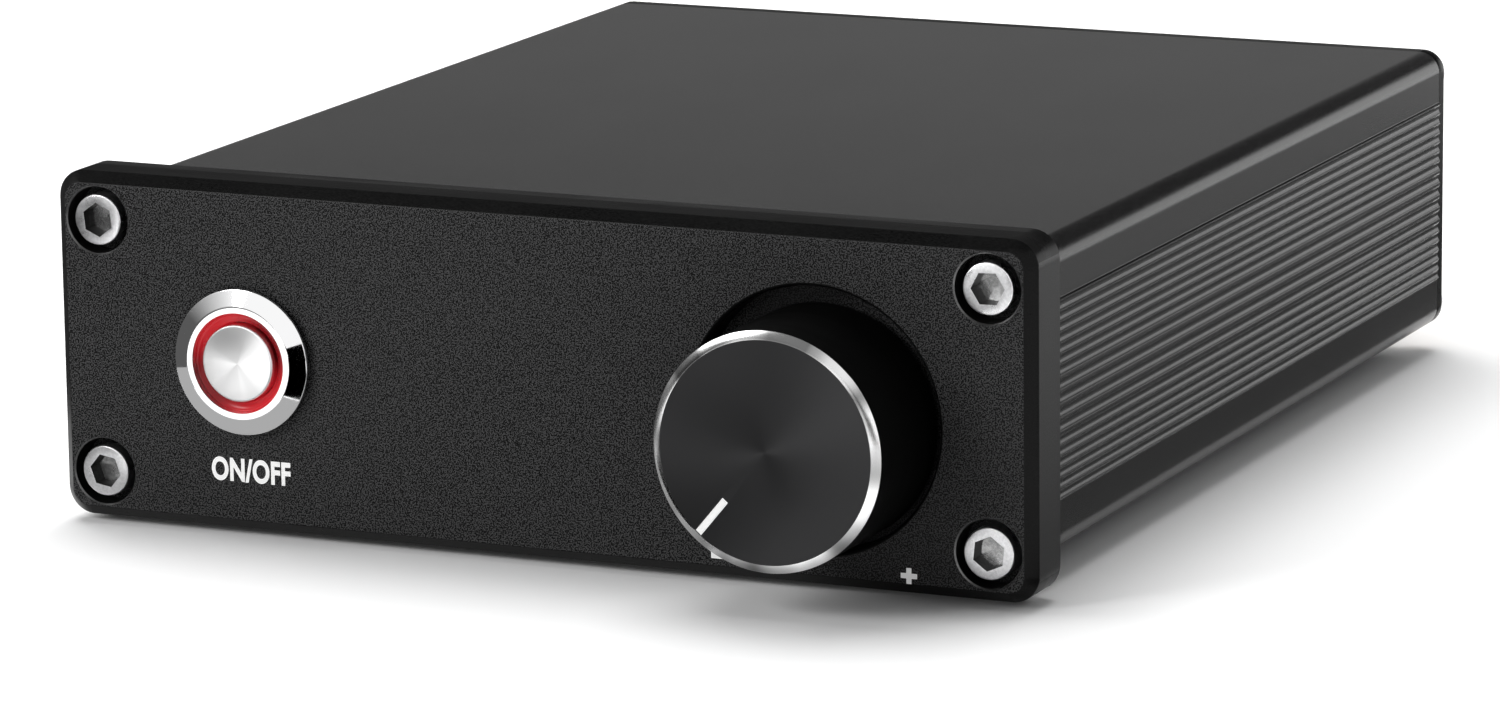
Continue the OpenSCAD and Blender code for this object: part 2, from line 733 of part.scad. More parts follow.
// The coloured collar that keeps a shell off the rear panel
module jack_collar(x) at(x, rear, mid_z) difference() {
    union() {
        rod(0, collar_t, collar_r);
        rod(-rear_t, rear_t, jack_hole_r - 0.05);
    }
    rod(-rear_t - cut, rear_t + collar_t + 2 * cut, jack_stem_r + snug);
}
module red_collars() color([0.8, 0.08, 0.08]) for (i = [0, 2]) jack_collar(jack_xs[i]);
module white_collars() color([0.92, 0.92, 0.9]) for (i = [1, 3]) jack_collar(jack_xs[i]);
module red_cores() color([0.8, 0.08, 0.08]) for (i = [0, 2]) jack_core(jack_xs[i]);
module white_cores() color([0.92, 0.92, 0.9]) for (i = [1, 3]) jack_core(jack_xs[i]);

// The insulating washers inside the rear panel
module jack_washers() color([0.1, 0.1, 0.1]) for (x = jack_xs)
    at(x, back - washer_t, mid_z) pipe(0, washer_t, washer_r, jack_stem_r + snug);

// The solder tags, which earth the shells and stand on the board
module jack_tags() color([0.85, 0.83, 0.75])
    for (x = jack_xs) at(x, back - washer_t - tag_t, mid_z) difference() {
        union() {
            rod(0, tag_t, tag_r);
            translate([0, 0, board_top - mid_z]) block(tag_w, tag_t, mid_z - board_top);
        }
        rod(-cut, tag_t + 2 * cut, jack_stem_r + snug);
    }

// The nuts on the sockets' stems
module jack_nuts() color([0.9, 0.74, 0.36])
    for (x = jack_xs) at(x, back - washer_t - tag_t - nut_t, mid_z) difference() {
        hex_bar(0, nut_t, nut_af);
        rod(-cut, nut_t + 2 * cut, jack_stem_r + snug);
    }

// The leads from the sockets' contacts down to the board
module signal_leads() color([0.85, 0.85, 0.85]) for (x = jack_xs)
    at(x, rear - contact_tail, mid_z) mirror([0, 1, 0])
        bent_lead(1, lead_bend, mid_z - lead_bend - board_top, lead_r);

// The power socket: a block on the board whose round nose comes through the rear panel
module dc_jack_housing() color([0.07, 0.07, 0.07]) at(dc_x, rear, dc_z) difference() {
    union() {
        translate([0, -rear_t - dc_len, board_top - dc_z]) block(dc_w, dc_len, dc_h);
        rod(-rear_t, rear_t + dc_lip, dc_nose_r);
    }
    rod(dc_lip - dc_bore_depth, dc_bore_depth + cut, dc_bore_r);
    rod(-rear_t - dc_len - cut, dc_len + cut, dc_tail_r + snug);
}

// The power socket's centre pin, with its tail behind the block
module dc_jack_pin() color([0.8, 0.78, 0.7]) at(dc_x, rear, dc_z) {
    rod(-rear_t - dc_len - 1.5, dc_len + rear_t + 2 - dc_bore_depth + dc_lip, dc_tail_r);
    rod(dc_lip - dc_bore_depth, dc_pin_len, dc_pin_r);
    taper(dc_lip - dc_bore_depth + dc_pin_len, 0.5, dc_pin_r, dc_pin_r - 0.4);
}

// The ground post: a threaded stud with a round base outside the rear panel
module ground_post() color([0.9, 0.74, 0.36]) at(post_x, rear, mid_z) {
    rod(0, post_base_t, post_base_r);
    rod(-rear_t - post_tail, rear_t + post_tail + post_reach, post_r);
}

// The nut that holds the ground post
module ground_lock_nut() color([0.75, 0.75, 0.75]) at(post_x, back - post_nut_t, mid_z) difference() {
    hex_bar(0, post_nut_t, post_nut_af);
    rod(-cut, post_nut_t + 2 * cut, post_r + snug);
}

// The lead from the ground post down to the board
module ground_lead() color([0.1, 0.45, 0.15]) at(post_x, back - post_tail, mid_z) mirror([0, 1, 0])
    bent_lead(1.5, lead_bend, mid_z - lead_bend - board_top, lead_r);

// The captive washer, which slides out as the thumb nut turns
module ground_washer() color([0.75, 0.75, 0.75]) at(post_x, rear + post_base_t, mid_z)
    pipe(0, post_washer_t, post_base_r - 0.2, post_r + slack);

// The knurled thumb nut on the ground post
module ground_thumb_nut() color([0.9, 0.74, 0.36]) at(post_x, rear + post_base_t + post_washer_t, mid_z)
    difference() {
        union() {
            taper(0, thumb_edge, thumb_r - thumb_edge, thumb_r);
            rod(thumb_edge, thumb_len - 2 * thumb_edge, thumb_r);
            taper(thumb_len - thumb_edge, thumb_edge, thumb_r, thumb_r - thumb_edge);
        }
        rod(-cut, thumb_len + 2 * cut, post_r + slack);
        for (a = [0 : knurl_step : 359]) rotate([0, a, 0]) translate([thumb_r + knurl_r / 2, 0, 0])
            rod(-cut, thumb_len + 2 * cut, knurl_r);
    }

front_panel();
case_sleeve();
rear_panel();
front_screws();
rear_screws();
rubber_feet();
switch_housing();
switch_gasket();
switch_nut();
switch_light_ring();
switch_base();
switch_terminals();
button_cap();
switch_plunger();
switch_spring();
knob();
knob_pointer();
knob_set_screw();
pot_shaft();
pot_wiper();
pot_bushing();
pot_body();
pot_track();
pot_pins();
pot_washer();
pot_nut();
circuit_board();
filter_capacitors();
signal_capacitors();
film_capacitors();
chip_sockets();
amplifier_chips();
resistors();
voltage_regulators();
board_header();
lead_plug();
switch_leads();
jack_shell(jack_xs[0]);  // input_right_shell
jack_shell(jack_xs[1]);  // input_left_shell
jack_shell(jack_xs[2]);  // output_right_shell
jack_shell(jack_xs[3]);  // output_left_shell
jack_contact(jack_xs[0]);  // input_right_contact
jack_contact(jack_xs[1]);  // input_left_contact
jack_contact(jack_xs[2]);  // output_right_contact
jack_contact(jack_xs[3]);  // output_left_contact
red_collars();
white_collars();
red_cores();
white_cores();
jack_washers();
jack_nuts();
jack_tags();
signal_leads();
dc_jack_housing();
dc_jack_pin();
ground_post();
ground_lock_nut();
ground_lead();
ground_washer();
ground_thumb_nut();
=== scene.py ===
# A small desktop phono preamp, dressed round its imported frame. The camera and the studio are in
# metres. The preamp is in millimetres, counted from the front panel's face, its bottom edge and
# the middle of its width, as on its drawing.
import math
import bmesh
import bpy
from mathutils import Matrix, Vector


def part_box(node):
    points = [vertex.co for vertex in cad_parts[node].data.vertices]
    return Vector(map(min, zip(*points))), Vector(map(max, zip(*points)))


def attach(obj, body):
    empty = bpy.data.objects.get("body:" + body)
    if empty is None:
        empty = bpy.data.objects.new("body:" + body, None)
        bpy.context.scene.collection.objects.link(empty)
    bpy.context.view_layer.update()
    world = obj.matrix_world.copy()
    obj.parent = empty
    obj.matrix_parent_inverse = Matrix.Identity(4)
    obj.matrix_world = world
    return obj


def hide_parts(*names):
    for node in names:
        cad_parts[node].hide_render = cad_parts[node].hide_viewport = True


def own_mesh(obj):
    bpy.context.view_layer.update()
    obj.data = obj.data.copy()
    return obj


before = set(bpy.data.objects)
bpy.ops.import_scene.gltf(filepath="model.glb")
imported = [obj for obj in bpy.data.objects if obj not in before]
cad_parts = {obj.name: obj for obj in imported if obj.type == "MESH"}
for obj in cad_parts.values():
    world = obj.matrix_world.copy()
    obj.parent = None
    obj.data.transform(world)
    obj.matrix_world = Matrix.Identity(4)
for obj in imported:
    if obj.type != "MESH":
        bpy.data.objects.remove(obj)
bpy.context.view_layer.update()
MM = 0.001


# ---- Camera ------------------------------------------------------------------------------
# A long lens from the front and right, a little above the case, tipped by less than a degree.
camera = bpy.data.objects.new("camera", bpy.data.cameras.new("camera"))
camera.data.sensor_width = 36
camera.data.lens = 165.28
camera.matrix_world = (
    Matrix.Translation((0.30611, -0.69252, 0.17206))
    @ Matrix.Rotation(math.radians(24.228), 4, "Z")
    @ Matrix.Rotation(math.radians(77.844), 4, "X")
    @ Matrix.Rotation(math.radians(-0.665), 4, "Z")
)
bpy.context.scene.collection.objects.link(camera)
bpy.context.scene.camera = camera
bpy.context.scene.view_settings.view_transform = "Standard"


# ---- Studio ------------------------------------------------------------------------------
# A pale floor under soft boxes, one above and behind, one behind and one at the front left.
# Round it stand cards that only glossy surfaces see. Each glows with the shade that the metal
# and the case mirror from its side.
def feed(made, node, feeds):
    """Feeds a node's inputs, by name or in order, with values or with other nodes' outputs."""
    for socket, value in feeds.items() if isinstance(feeds, dict) else enumerate(feeds):
        if isinstance(value, bpy.types.NodeSocket):
            made.node_tree.links.new(value, node.inputs[socket])
        else:
            node.inputs[socket].default_value = value


def add(made, kind, feeds=(), out=0, **settings):
    """Adds a node to a material or a world, feeds it, and gives one of its outputs."""
    node = made.node_tree.nodes.new("ShaderNode" + kind)
    for setting, value in settings.items():
        setattr(node, setting, value)
    feed(made, node, feeds)
    return node.outputs[out] if node.outputs else None


def surface(made, **feeds):
    """Feeds the surface of a material, with an underscore for a space in an input's name."""
    shader = made.node_tree.nodes["Principled BSDF"]
    feed(made, shader, {name.replace("_", " "): value for name, value in feeds.items()})
    return made


def ranged(made, value, start, end, low=0, high=1, **settings):
    """Maps a value's span from start to end onto the span from low to high."""
    feeds = {"Value": value, "From Min": start, "From Max": end, "To Min": low, "To Max": high}
    return add(made, "MapRange", feeds, **settings)


def mixed(made, share, first, second):
    """Mixes two colours by the share of the second one."""
    feeds = {"Factor": share, "A": first, "B": second}
    return add(made, "Mix", feeds, out="Result", data_type="RGBA")


def is_background(made):
    """A factor that is 1 on the rays that meet the background: seen, reflected or refracted."""
    seen, reflected, refracted = (
        add(made, "LightPath", out=f"Is {ray} Ray") for ray in ("Camera", "Glossy", "Transmission")
    )
    either = add(made, "Math", (seen, reflected), operation="MAXIMUM")
    return add(made, "Math", (either, refracted), operation="MAXIMUM")


sky = bpy.data.worlds.new("sky")
bpy.context.scene.world = sky
sky.use_nodes = True
sky.node_tree.nodes.clear()
room = add(sky, "Background", {"Color": (0.09, 0.09, 0.092, 1)})
white = add(sky, "Background", {"Color": (1, 1, 1, 1)})
add(sky, "OutputWorld", {"Surface": add(sky, "MixShader", (is_background(sky), room, white))})


def facing(place, aim):
    """A place, turned so that its -Z looks at a point."""
    look = (Vector(aim) - Vector(place)).to_track_quat("-Z", "Y")
    return Matrix.Translation(place) @ look.to_matrix().to_4x4()


def soft_box(name, place, aim, wide, tall, power):
    """A rectangular lamp that faces a point."""
    lamp = bpy.data.lights.new(name, "AREA")
    lamp.shape = "RECTANGLE"
    lamp.size, lamp.size_y = wide, tall
    lamp.energy = power
    box = bpy.data.objects.new(name, lamp)
    box.matrix_world = facing(place, aim)
    bpy.context.scene.collection.objects.link(box)
    return box


def sheet(name, low, high):
    """A flat sheet between two corners, with a material of its own."""
    shape = bmesh.new()
    (x0, y0, z0), (x1, y1, z1) = low, high
    ends = [(x0, y0, z0), (x1, y0, z0), (x1, y1, z1), (x0, y1, z1)]
    if x0 == x1:
        ends = [(x0, y0, z0), (x0, y1, z0), (x0, y1, z1), (x0, y0, z1)]
    shape.faces.new([shape.verts.new(end) for end in ends])
    mesh = bpy.data.meshes.new(name)
    shape.to_mesh(mesh)
    shape.free()
    made = bpy.data.objects.new(name, mesh)
    bpy.context.scene.collection.objects.link(made)
    coating = bpy.data.materials.new(name)
    coating.use_nodes = True
    mesh.materials.append(coating)
    return made


def card(name, low, high, shade, fade=None):
    """A card that only glossy rays see. It may fade from its shade to white above a height."""
    made = sheet(name, low, high)
    for rays in ("camera", "diffuse", "shadow", "transmission", "volume_scatter"):
        setattr(made, "visible_" + rays, False)
    coating = made.active_material
    if fade:
        place = add(coating, "TexCoord", out="Object")
        height = add(coating, "SeparateXYZ", (place,), out="Z")
        shade = ranged(coating, height, fade, high[2], low=shade)
    surface(coating, Base_Color=(0, 0, 0, 1), Specular_IOR_Level=0, Emission_Color=(1, 1, 1, 1),
            Emission_Strength=shade)


above = soft_box("above_box", (-0.2, 0.33, 1), (0, 0, 0), wide=0.9, tall=0.9, power=13.7)
behind = soft_box("rear_box", (0.35, 1, 0.55), (0, 0, 0.02), wide=1.3, tall=0.3, power=5)
soft_box("front_left_box", (-0.55, -0.6, 0.45), (0, 0, 0.02), wide=0.5, tall=0.5, power=5)
above.visible_glossy = behind.visible_glossy = False
card("ceiling_card", (-0.9, -0.45, 0.8), (0.7, 0.55, 0.8), 0.01)
card("rear_card", (-0.9, 0.75, 0), (0.12, 0.75, 0.25), 0.25)
card("rear_wall_card", (-1.4, 1.2, 0.1), (0.25, 1.2, 1.5), 0.01)
card("right_wall_card", (0.25, 1.2, 0.31), (1.4, 1.2, 1.5), 0.01)
card("left_card", (-0.098, -0.3, 0), (-0.098, 0, 0.08), 0.1, fade=0.031)
card("front_card", (-0.03, -0.26, 0.001), (0.02, -0.092, 0.001), 0)
card("far_card", (0.005, -0.62, 0.0015), (0.2, -0.21, 0.0015), 0)
card("horizon_card", (0, -0.62, 0), (0.25, -0.62, 0.042), 0)
card("side_card", (0.08, -0.06, 0.001), (0.2, 0.3, 0.001), 0.34)
card("close_card", (0.0575, -0.07, 0.001), (0.08, 0.2, 0.001), 0.12)
card("roof_card", (-0.25, -0.0625, 0.0372), (0.06, -0.0625, 0.2), 0.08)
card("glow_card", (0.19, 1.15, 0), (0.6, 1.15, 0.3), 1.5)
card("near_card", (-0.112, -0.091, 0.001), (0.02, -0.07, 0.001), 0.43)
card("near_left_card", (-0.112, -0.125, 0.001), (-0.07, -0.091, 0.001), 0.43)

coating = sheet("floor", (-4, -4, 0), (4, 4, 0)).active_material
background = is_background(coating)
colour = mixed(coating, background, (0.8, 0.8, 0.8, 1), (1, 1, 1, 1))
surface(coating, Base_Color=colour, Roughness=0.8, Specular_IOR_Level=0.1)
place = add(coating, "TexCoord", out="Object")
away = add(coating, "VectorMath", (place,), out="Value", operation="LENGTH")
rise = ranged(coating, away, 0.5, 1.5, low=0.02)
lift = add(coating, "Math", (background, rise), operation="MULTIPLY")
glow = add(coating, "Emission", {"Strength": lift})
floor_nodes = coating.node_tree.nodes
both = add(coating, "AddShader", (floor_nodes["Principled BSDF"].outputs[0], glow))
feed(coating, floor_nodes["Material Output"], {"Surface": both})


# ---- Front panel -------------------------------------------------------------------------
# A thick aluminium plate with round corners, its face bead blasted and its edges and holes
# milled bright after that, then all of it anodised black. It is drilled for the switch and
# the control, sunk in a wide recess for the knob and counterbored for the corner screws.
panel_low, panel_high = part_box("front_panel")
WIDTH = (panel_high.x - panel_low.x) / MM
HEIGHT = (panel_high.z - panel_low.z) / MM
PANEL = (panel_high.y - panel_low.y) / MM
SCREW_INSET = 5.1
SCREW_PLACES = [
    (side * (WIDTH / 2 - SCREW_INSET), up)
    for up in (SCREW_INSET, HEIGHT - SCREW_INSET)
    for side in (-1, 1)
]
BUTTON_X, BUTTON_UP = -33.6, 18.5
KNOB_X, KNOB_UP, RECESS_UP = 31.7, 16.55, 17.35
TOUCHING = MM / 1000  # points nearer than this are one
FACING = 0.97  # a face looks along a line when its normal has more than this along it
WALL = 0.2  # and it is a wall round the line when its normal has less than this


def spot(x, behind, up):
    """A point from its place on the drawing."""
    return Vector((x * MM, panel_low.y + behind * MM, panel_low.z + up * MM))


def bevel(shape, edges, width, segments=1, clamp_overlap=False):
    """Bevels edges to a width, or rounds them off with several segments."""
    bmesh.ops.bevel(
        shape, geom=edges, offset=width * MM, segments=segments, profile=0.5,
        affect="EDGES", material=-1, clamp_overlap=clamp_overlap,
    )
    return shape


def ease(shape, width, segments=2, angle=25):
    """Rounds off every edge that turns by more than an angle."""
    sharp = [
        edge for edge in shape.edges
        if edge.is_manifold and edge.calc_face_angle(0) > math.radians(angle)
    ]
    return bevel(shape, sharp, width, segments, clamp_overlap=True)


def bar(x, up, wide, tall, front, thick):
    """A square bar, with its middle at (x, up), that runs so far back from its front."""
    shape = bmesh.new()
    size = Matrix.Diagonal((wide * MM, thick * MM, tall * MM, 1))
    middle = Matrix.Translation(spot(x, front + thick / 2, up))
    bmesh.ops.create_cube(shape, size=1, matrix=middle @ size)
    return shape


def plate(wide, thick, tall, corner, behind, up):
    """A plate with round corners, standing on edge."""
    shape = bar(0, up + tall / 2, wide, tall, behind, thick)
    corners = [edge for edge in shape.edges if edge.verts[0].co.xz == edge.verts[1].co.xz]
    return bevel(shape, corners, corner, segments=14)


def level_edges(shape, behind):
    """The edges of a shape that lie so far behind the panel's face."""
    depth = spot(0, behind, 0).y
    return [
        edge for edge in shape.edges
        if all(abs(end.co.y - depth) < 5 * TOUCHING for end in edge.verts)
    ]


def bevel_face(shape, behind, width):
    """Mills a flat bevel round the face of a plate."""
    return bevel(shape, level_edges(shape, behind), width)


def revolved(places, centre, axis, steps, ring=False):
    """Turns an outline round an axis. A ring's outline closes on itself."""
    shape = bmesh.new()
    points = [shape.verts.new(place) for place in places]
    lines = [shape.edges.new(pair) for pair in zip(points, points[1:])]
    if ring:
        lines.append(shape.edges.new((points[-1], points[0])))
    bmesh.ops.spin(
        shape, geom=points + lines, cent=centre, axis=axis, angle=math.tau, steps=steps,
        use_merge=True,
    )
    bmesh.ops.remove_doubles(shape, verts=shape.verts, dist=TOUCHING)
    bmesh.ops.recalc_face_normals(shape, faces=shape.faces)
    return shape


def turned(outline, x, up, steps=96, ring=False):
    """Turns an outline of (behind the face, radius) round a line through (x, up)."""
    places = [spot(x + radius, behind, up) for behind, radius in outline]
    return revolved(places, spot(x, 0, up), (0, 1, 0), steps, ring)


def stand_in(shape):
    """An object that holds a shape for as long as a modifier needs it."""
    mesh = bpy.data.meshes.new("stand_in")
    shape.to_mesh(mesh)
    shape.free()
    made = bpy.data.objects.new("stand_in", mesh)
    bpy.context.scene.collection.objects.link(made)
    return made


def worked(shape, tools, operation="DIFFERENCE"):
    """Cuts the tools out of a shape, or joins or crosses it with them."""
    body = stand_in(shape)
    others = [stand_in(tool) for tool in tools]
    for other in others:
        step = body.modifiers.new("step", "BOOLEAN")
        step.operation = operation
        step.solver = "EXACT"
        step.object = other
    result = bmesh.new()
    result.from_object(body, bpy.context.evaluated_depsgraph_get())
    for used in [body, *others]:
        mesh = used.data
        bpy.data.objects.remove(used)
        bpy.data.meshes.remove(mesh)
    bmesh.ops.dissolve_degenerate(result, edges=result.edges, dist=TOUCHING / 2)
    return result


def off_axis(face, x, up, behind=0):
    """How far a face's middle is out from a line through (x, up), and how far behind a place."""
    away = face.calc_center_median() - spot(x, behind, up)
    return math.hypot(away.x, away.z) / MM, away.y / MM


def fitted(name, shape, materials, body, stands_for=()):
    """Makes a piece of a shape, in one finish or a list of them, in its place on a body."""
    mesh = bpy.data.meshes.new(name)
    shape.to_mesh(mesh)
    shape.free()
    for material in materials if isinstance(materials, list) else [materials]:
        mesh.materials.append(material)
    mesh.shade_smooth()
    mesh.set_sharp_from_angle(angle=math.radians(40))
    made = bpy.data.objects.new(name, mesh)
    bpy.context.scene.collection.objects.link(made)
    even = made.modifiers.new("even", "WEIGHTED_NORMAL")
    even.keep_sharp = True
    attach(made, body)
    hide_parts(*stands_for)
    return made


def finish(name, colour, metal, rough, **more):
    """A plain finish."""
    made = bpy.data.materials.new(name)
    made.use_nodes = True
    return surface(made, Base_Color=(*colour, 1), Metallic=metal, Roughness=rough, **more)


NOISE_SPAN = (0.3, 0.7)  # where most of a noise's values lie


def grained(name, low, high=None, *, metal, rough, fine, depth, stretch=(1, 1, 1), patches=60,
            spread=(0.38, 0.66), detail=3, **more):
    """A finish with a grain of so many specks a metre, so deep in mm, which runs between two
    colours, and with so many patches a metre, which run between two roughnesses."""
    made = finish(name, low, metal, rough[0], **more)
    place = add(made, "TexCoord", out="Object")
    pulled = add(made, "Mapping", {"Vector": place, "Scale": stretch})
    specks = add(made, "TexNoise", {
        "Vector": pulled, "Scale": fine, "Detail": detail, "Roughness": 0.6,
    })
    clouds = add(made, "TexNoise", {"Vector": pulled, "Scale": patches, "Detail": 2})
    if high:
        share = ranged(made, specks, *spread)
        surface(made, Base_Color=mixed(made, share, (*low, 1), (*high, 1)))
    bump = add(made, "Bump", {"Height": specks, "Distance": depth * MM})
    gloss = ranged(made, clouds, *NOISE_SPAN, *rough)
    return surface(made, Normal=bump, Roughness=gloss)


BLASTED = grained(
    "black_blasted", (0.001, 0.001, 0.001), (0.061, 0.061, 0.062),
    metal=0, rough=(0.42, 0.48), fine=6500, depth=0.04, spread=(0.46, 0.55), detail=0.6,
    Specular_IOR_Level=0.12,
)
MILLED = grained(
    "black_milled", (0.003, 0.003, 0.003), (0.01, 0.01, 0.01),
    metal=0, rough=(0.24, 0.36), fine=3000, depth=0.002, stretch=(1, 4, 4),
    Specular_IOR_Level=0.1,
)
MILLED_RIM = grained(
    "bright_milled", (0.1, 0.1, 0.1), (0.15, 0.15, 0.15),
    metal=1, rough=(0.24, 0.36), fine=3000, depth=0.002,
)
PLATE_END = grained(
    "black_plate_end", (0.014, 0.014, 0.014), (0.04, 0.04, 0.04),
    metal=0, rough=(0.36, 0.42), fine=6500, depth=0.02, detail=0.6, Specular_IOR_Level=0.45,
)
counterbore = [
    (-1, 0), (-1, 3.85), (0, 3.75), (0.15, 3.6), (3.1, 3.6), (3.1, 1.7), (8, 1.7), (8, 0),
]
switch_hole = [(-1, 0), (-1, 6.1), (8, 6.1), (8, 0)]
recess = [
    (-1, 0), (-1, 15), (0, 14.3), (0.18, 14.05), (0.4, 13.93), (0.7, 13.9), (4, 13.9), (4, 0),
]
shaft_hole = [(3, 0), (3, 3.6), (8, 3.6), (8, 0)]
panel_tools = [turned(counterbore, x, up, steps=64) for x, up in SCREW_PLACES]
panel_tools.append(turned(switch_hole, BUTTON_X, BUTTON_UP))
panel_tools.append(turned(recess, KNOB_X, RECESS_UP, steps=128))
panel_tools.append(turned(shaft_hole, KNOB_X, KNOB_UP))
panel_shape = plate(WIDTH, PANEL, HEIGHT, corner=3, behind=0, up=0)
panel_shape = ease(bevel_face(panel_shape, behind=0, width=1.2), 0.12)
panel_shape = worked(panel_shape, panel_tools)
# The bevels and bores are milled, the rims round the screws are brighter, and the ends plainer.
for face in panel_shape.faces:
    to_screw = min(off_axis(face, x, up)[0] for x, up in SCREW_PLACES)
    from_middle = abs(face.calc_center_median().x) / MM
    if abs(face.normal.y) < FACING:
        face.material_index = 2 if abs(face.normal.y) > 0.3 and to_screw < 4 else 1
    if abs(face.normal.x) > FACING and from_middle > WIDTH / 2 - 0.2:
        face.material_index = 3
fitted(
    "front_plate", panel_shape, [BLASTED, MILLED, MILLED_RIM, PLATE_END], "case",
    ["front_panel"],
)


# ---- Panel marks -------------------------------------------------------------------------
# White screen print, a few hundredths of a millimetre thick: ON and OFF under the button,
# and a minus and a plus at the two ends of the knob's turn.
# The print glows a little: painted light that keeps it white where the face lies in shade.
GLOWING_PRINT = grained(
    "white_print", (0.84, 0.84, 0.83), (0.95, 0.95, 0.94),
    metal=0, rough=(0.4, 0.55), fine=9000, depth=0.004,
    Emission_Color=(1, 1, 1, 1), Emission_Strength=0.2,
)
PRINT_THICK = 0.03
PRINTED = (-PRINT_THICK, PRINT_THICK)
PLUS, MINUS = (42.2, 2.06), (21.2, 2.3)
plus_shape = worked(bar(*PLUS, 1.8, 0.54, *PRINTED), [bar(*PLUS, 0.56, 1.66, *PRINTED)], "UNION")
minus_shape = bar(*MINUS, 2.05, 0.68, *PRINTED)
fitted("plus_mark", plus_shape, GLOWING_PRINT, "case")
fitted("minus_mark", minus_shape, GLOWING_PRINT, "case")
letters = bpy.data.curves.new("switch_mark", "FONT")
letters.body = "ON/OFF"
letters.size = 3.35
letters.offset = 0.12
letters.space_character = 1.06
letters.align_x = "CENTER"
letters.extrude = PRINT_THICK / 2
lettering = bpy.data.objects.new("lettering", letters)
bpy.context.scene.collection.objects.link(lettering)
bpy.context.view_layer.update()
letter_mesh = bpy.data.meshes.new_from_object(
    lettering, depsgraph=bpy.context.evaluated_depsgraph_get()
)
letter_shape = bmesh.new()
letter_shape.from_mesh(letter_mesh)
bpy.data.objects.remove(lettering)
bpy.data.meshes.remove(letter_mesh)
LETTERS_X, LETTERS_UP, LETTERS_NARROW = -33.2, 5.45, 0.74
bmesh.ops.transform(
    letter_shape, verts=letter_shape.verts,
    matrix=Matrix.Translation(spot(LETTERS_X, -PRINT_THICK / 2, LETTERS_UP))
    @ Matrix.Rotation(math.radians(90), 4, "X")
    @ Matrix.Diagonal((LETTERS_NARROW * MM, MM, MM, 1)),
)
fitted("switch_mark", letter_shape, GLOWING_PRINT, "case")


# ---- Case --------------------------------------------------------------------------------
# One extruded aluminium sleeve, brushed faintly along its length by the die, blasted and
# anodised dark grey. Its sides carry seventeen fine scallops with sharp crests between them.
def eased_copy(node, width, angle=30):
    """The shape of a solid of the frame, with its sharp edges rounded off."""
    shape = bmesh.new()
    shape.from_mesh(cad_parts[node].data)
    bmesh.ops.remove_doubles(shape, verts=shape.verts, dist=TOUCHING)
    bmesh.ops.dissolve_limit(
        shape, angle_limit=math.radians(0.3), verts=shape.verts, edges=shape.edges
    )
    return ease(shape, width, angle=angle)


EXTRUDED = grained(
    "grey_extruded", (0.011, 0.011, 0.011), (0.017, 0.017, 0.017),
    metal=0, rough=(0.215, 0.225), fine=2600, depth=0.003, stretch=(1, 0.6, 1), detail=0.6,
    Specular_IOR_Level=0.5,
)
fitted(
    "case_extrusion", eased_copy("case_sleeve", 0.05), EXTRUDED, "case",
    ["case_sleeve"],
)


# ---- Front screws ------------------------------------------------------------------------
# Four stainless socket-head screws, their heads just under the panel's face. Each stopped at
# its own angle. The socket is broached, with a drilled cone at its bottom.
HEAD, SHANK = 2.75, 1.45
KEY, KEY_DEEP = 3.2, 2.1
SCREW_METAL = grained(
    "satin_stainless", (0.7, 0.7, 0.71), (0.84, 0.84, 0.85),
    metal=1, rough=(0.24, 0.36), fine=3000, depth=0.003, patches=400,
)


def hexagon(x, up, flats, front, back, turn=0):
    """A hexagonal bar of so much across its flats, which face up and down before the turn."""
    shape = bmesh.new()
    corner = flats / math.sqrt(3) * MM
    bmesh.ops.create_cone(
        shape, cap_ends=True, segments=6, radius1=corner, radius2=corner,
        depth=(back - front) * MM,
        matrix=Matrix.Translation(spot(x, (front + back) / 2, up))
        @ Matrix.Rotation(math.radians(turn + 30), 4, "Y")
        @ Matrix.Rotation(math.radians(90), 4, "X"),
    )
    return shape


def joined(shapes):
    """Puts several like shapes into one."""
    whole = bmesh.new()
    for shape in shapes:
        mesh = bpy.data.meshes.new("part")
        shape.to_mesh(mesh)
        shape.free()
        whole.from_mesh(mesh)
        bpy.data.meshes.remove(mesh)
    return whole


def eased_mouth(shape, x, up, behind, reach, width):
    """Takes the burr off the mouth of a socket, within so far of a screw's middle."""
    middle = spot(x, behind, up)
    mouth = [
        edge for edge in level_edges(shape, behind)
        if all((end.co - middle).length < reach * MM for end in edge.verts)
    ]
    return bevel(shape, mouth, width, clamp_overlap=True)


# The socket's walls and floor are darker copies of the steel, painted shade: the walls near black,
# the floor less dark.
SOCKET_WALL_SHADE = grained(
    "socket_wall_painted_shade", (0.012, 0.012, 0.012), (0.03, 0.03, 0.03),
    metal=1, rough=(0.35, 0.45), fine=3000, depth=0.004, patches=400,
)
SOCKET_FLOOR_SHADE = grained(
    "socket_floor_painted_shade", (0.4, 0.4, 0.4), (0.6, 0.6, 0.6),
    metal=1, rough=(0.22, 0.3), fine=3000, depth=0.006, patches=400,
)
SCREW_TURNS = (10, 36, 24, 58)
screw_shapes = []
for (x, up), turn in zip(SCREW_PLACES, SCREW_TURNS):
    blank = turned(
        [(0.1, 0), (0.1, HEAD - 0.2), (0.14, HEAD - 0.1), (0.21, HEAD - 0.03), (0.3, HEAD),
         (3.1, HEAD), (3.1, SHANK), (11.7, SHANK), (12.1, SHANK - 0.4), (12.1, 0)],
        x, up, steps=64,
    )
    socket = hexagon(x, up, KEY, front=-1, back=KEY_DEEP, turn=turn)
    point = turned([(1, 0), (1, 1.5), (KEY_DEEP, 1.5), (2.8, 0)], x, up, steps=48)
    screw = worked(blank, [socket, point])
    screw = eased_mouth(screw, x, up, behind=0.1, reach=2, width=0.06)
    # Faces inside the socket take its painted shade.
    for face in screw.faces:
        out, deep = off_axis(face, x, up)
        if out < 1.8 and 0.2 < deep < 2.9:
            face.material_index = 1 if abs(face.normal.y) < WALL else 2
    screw_shapes.append(screw)
fitted(
    "panel_screws", joined(screw_shapes), [SCREW_METAL, SOCKET_WALL_SHADE, SOCKET_FLOOR_SHADE], "case",
    ["front_screws"],
)
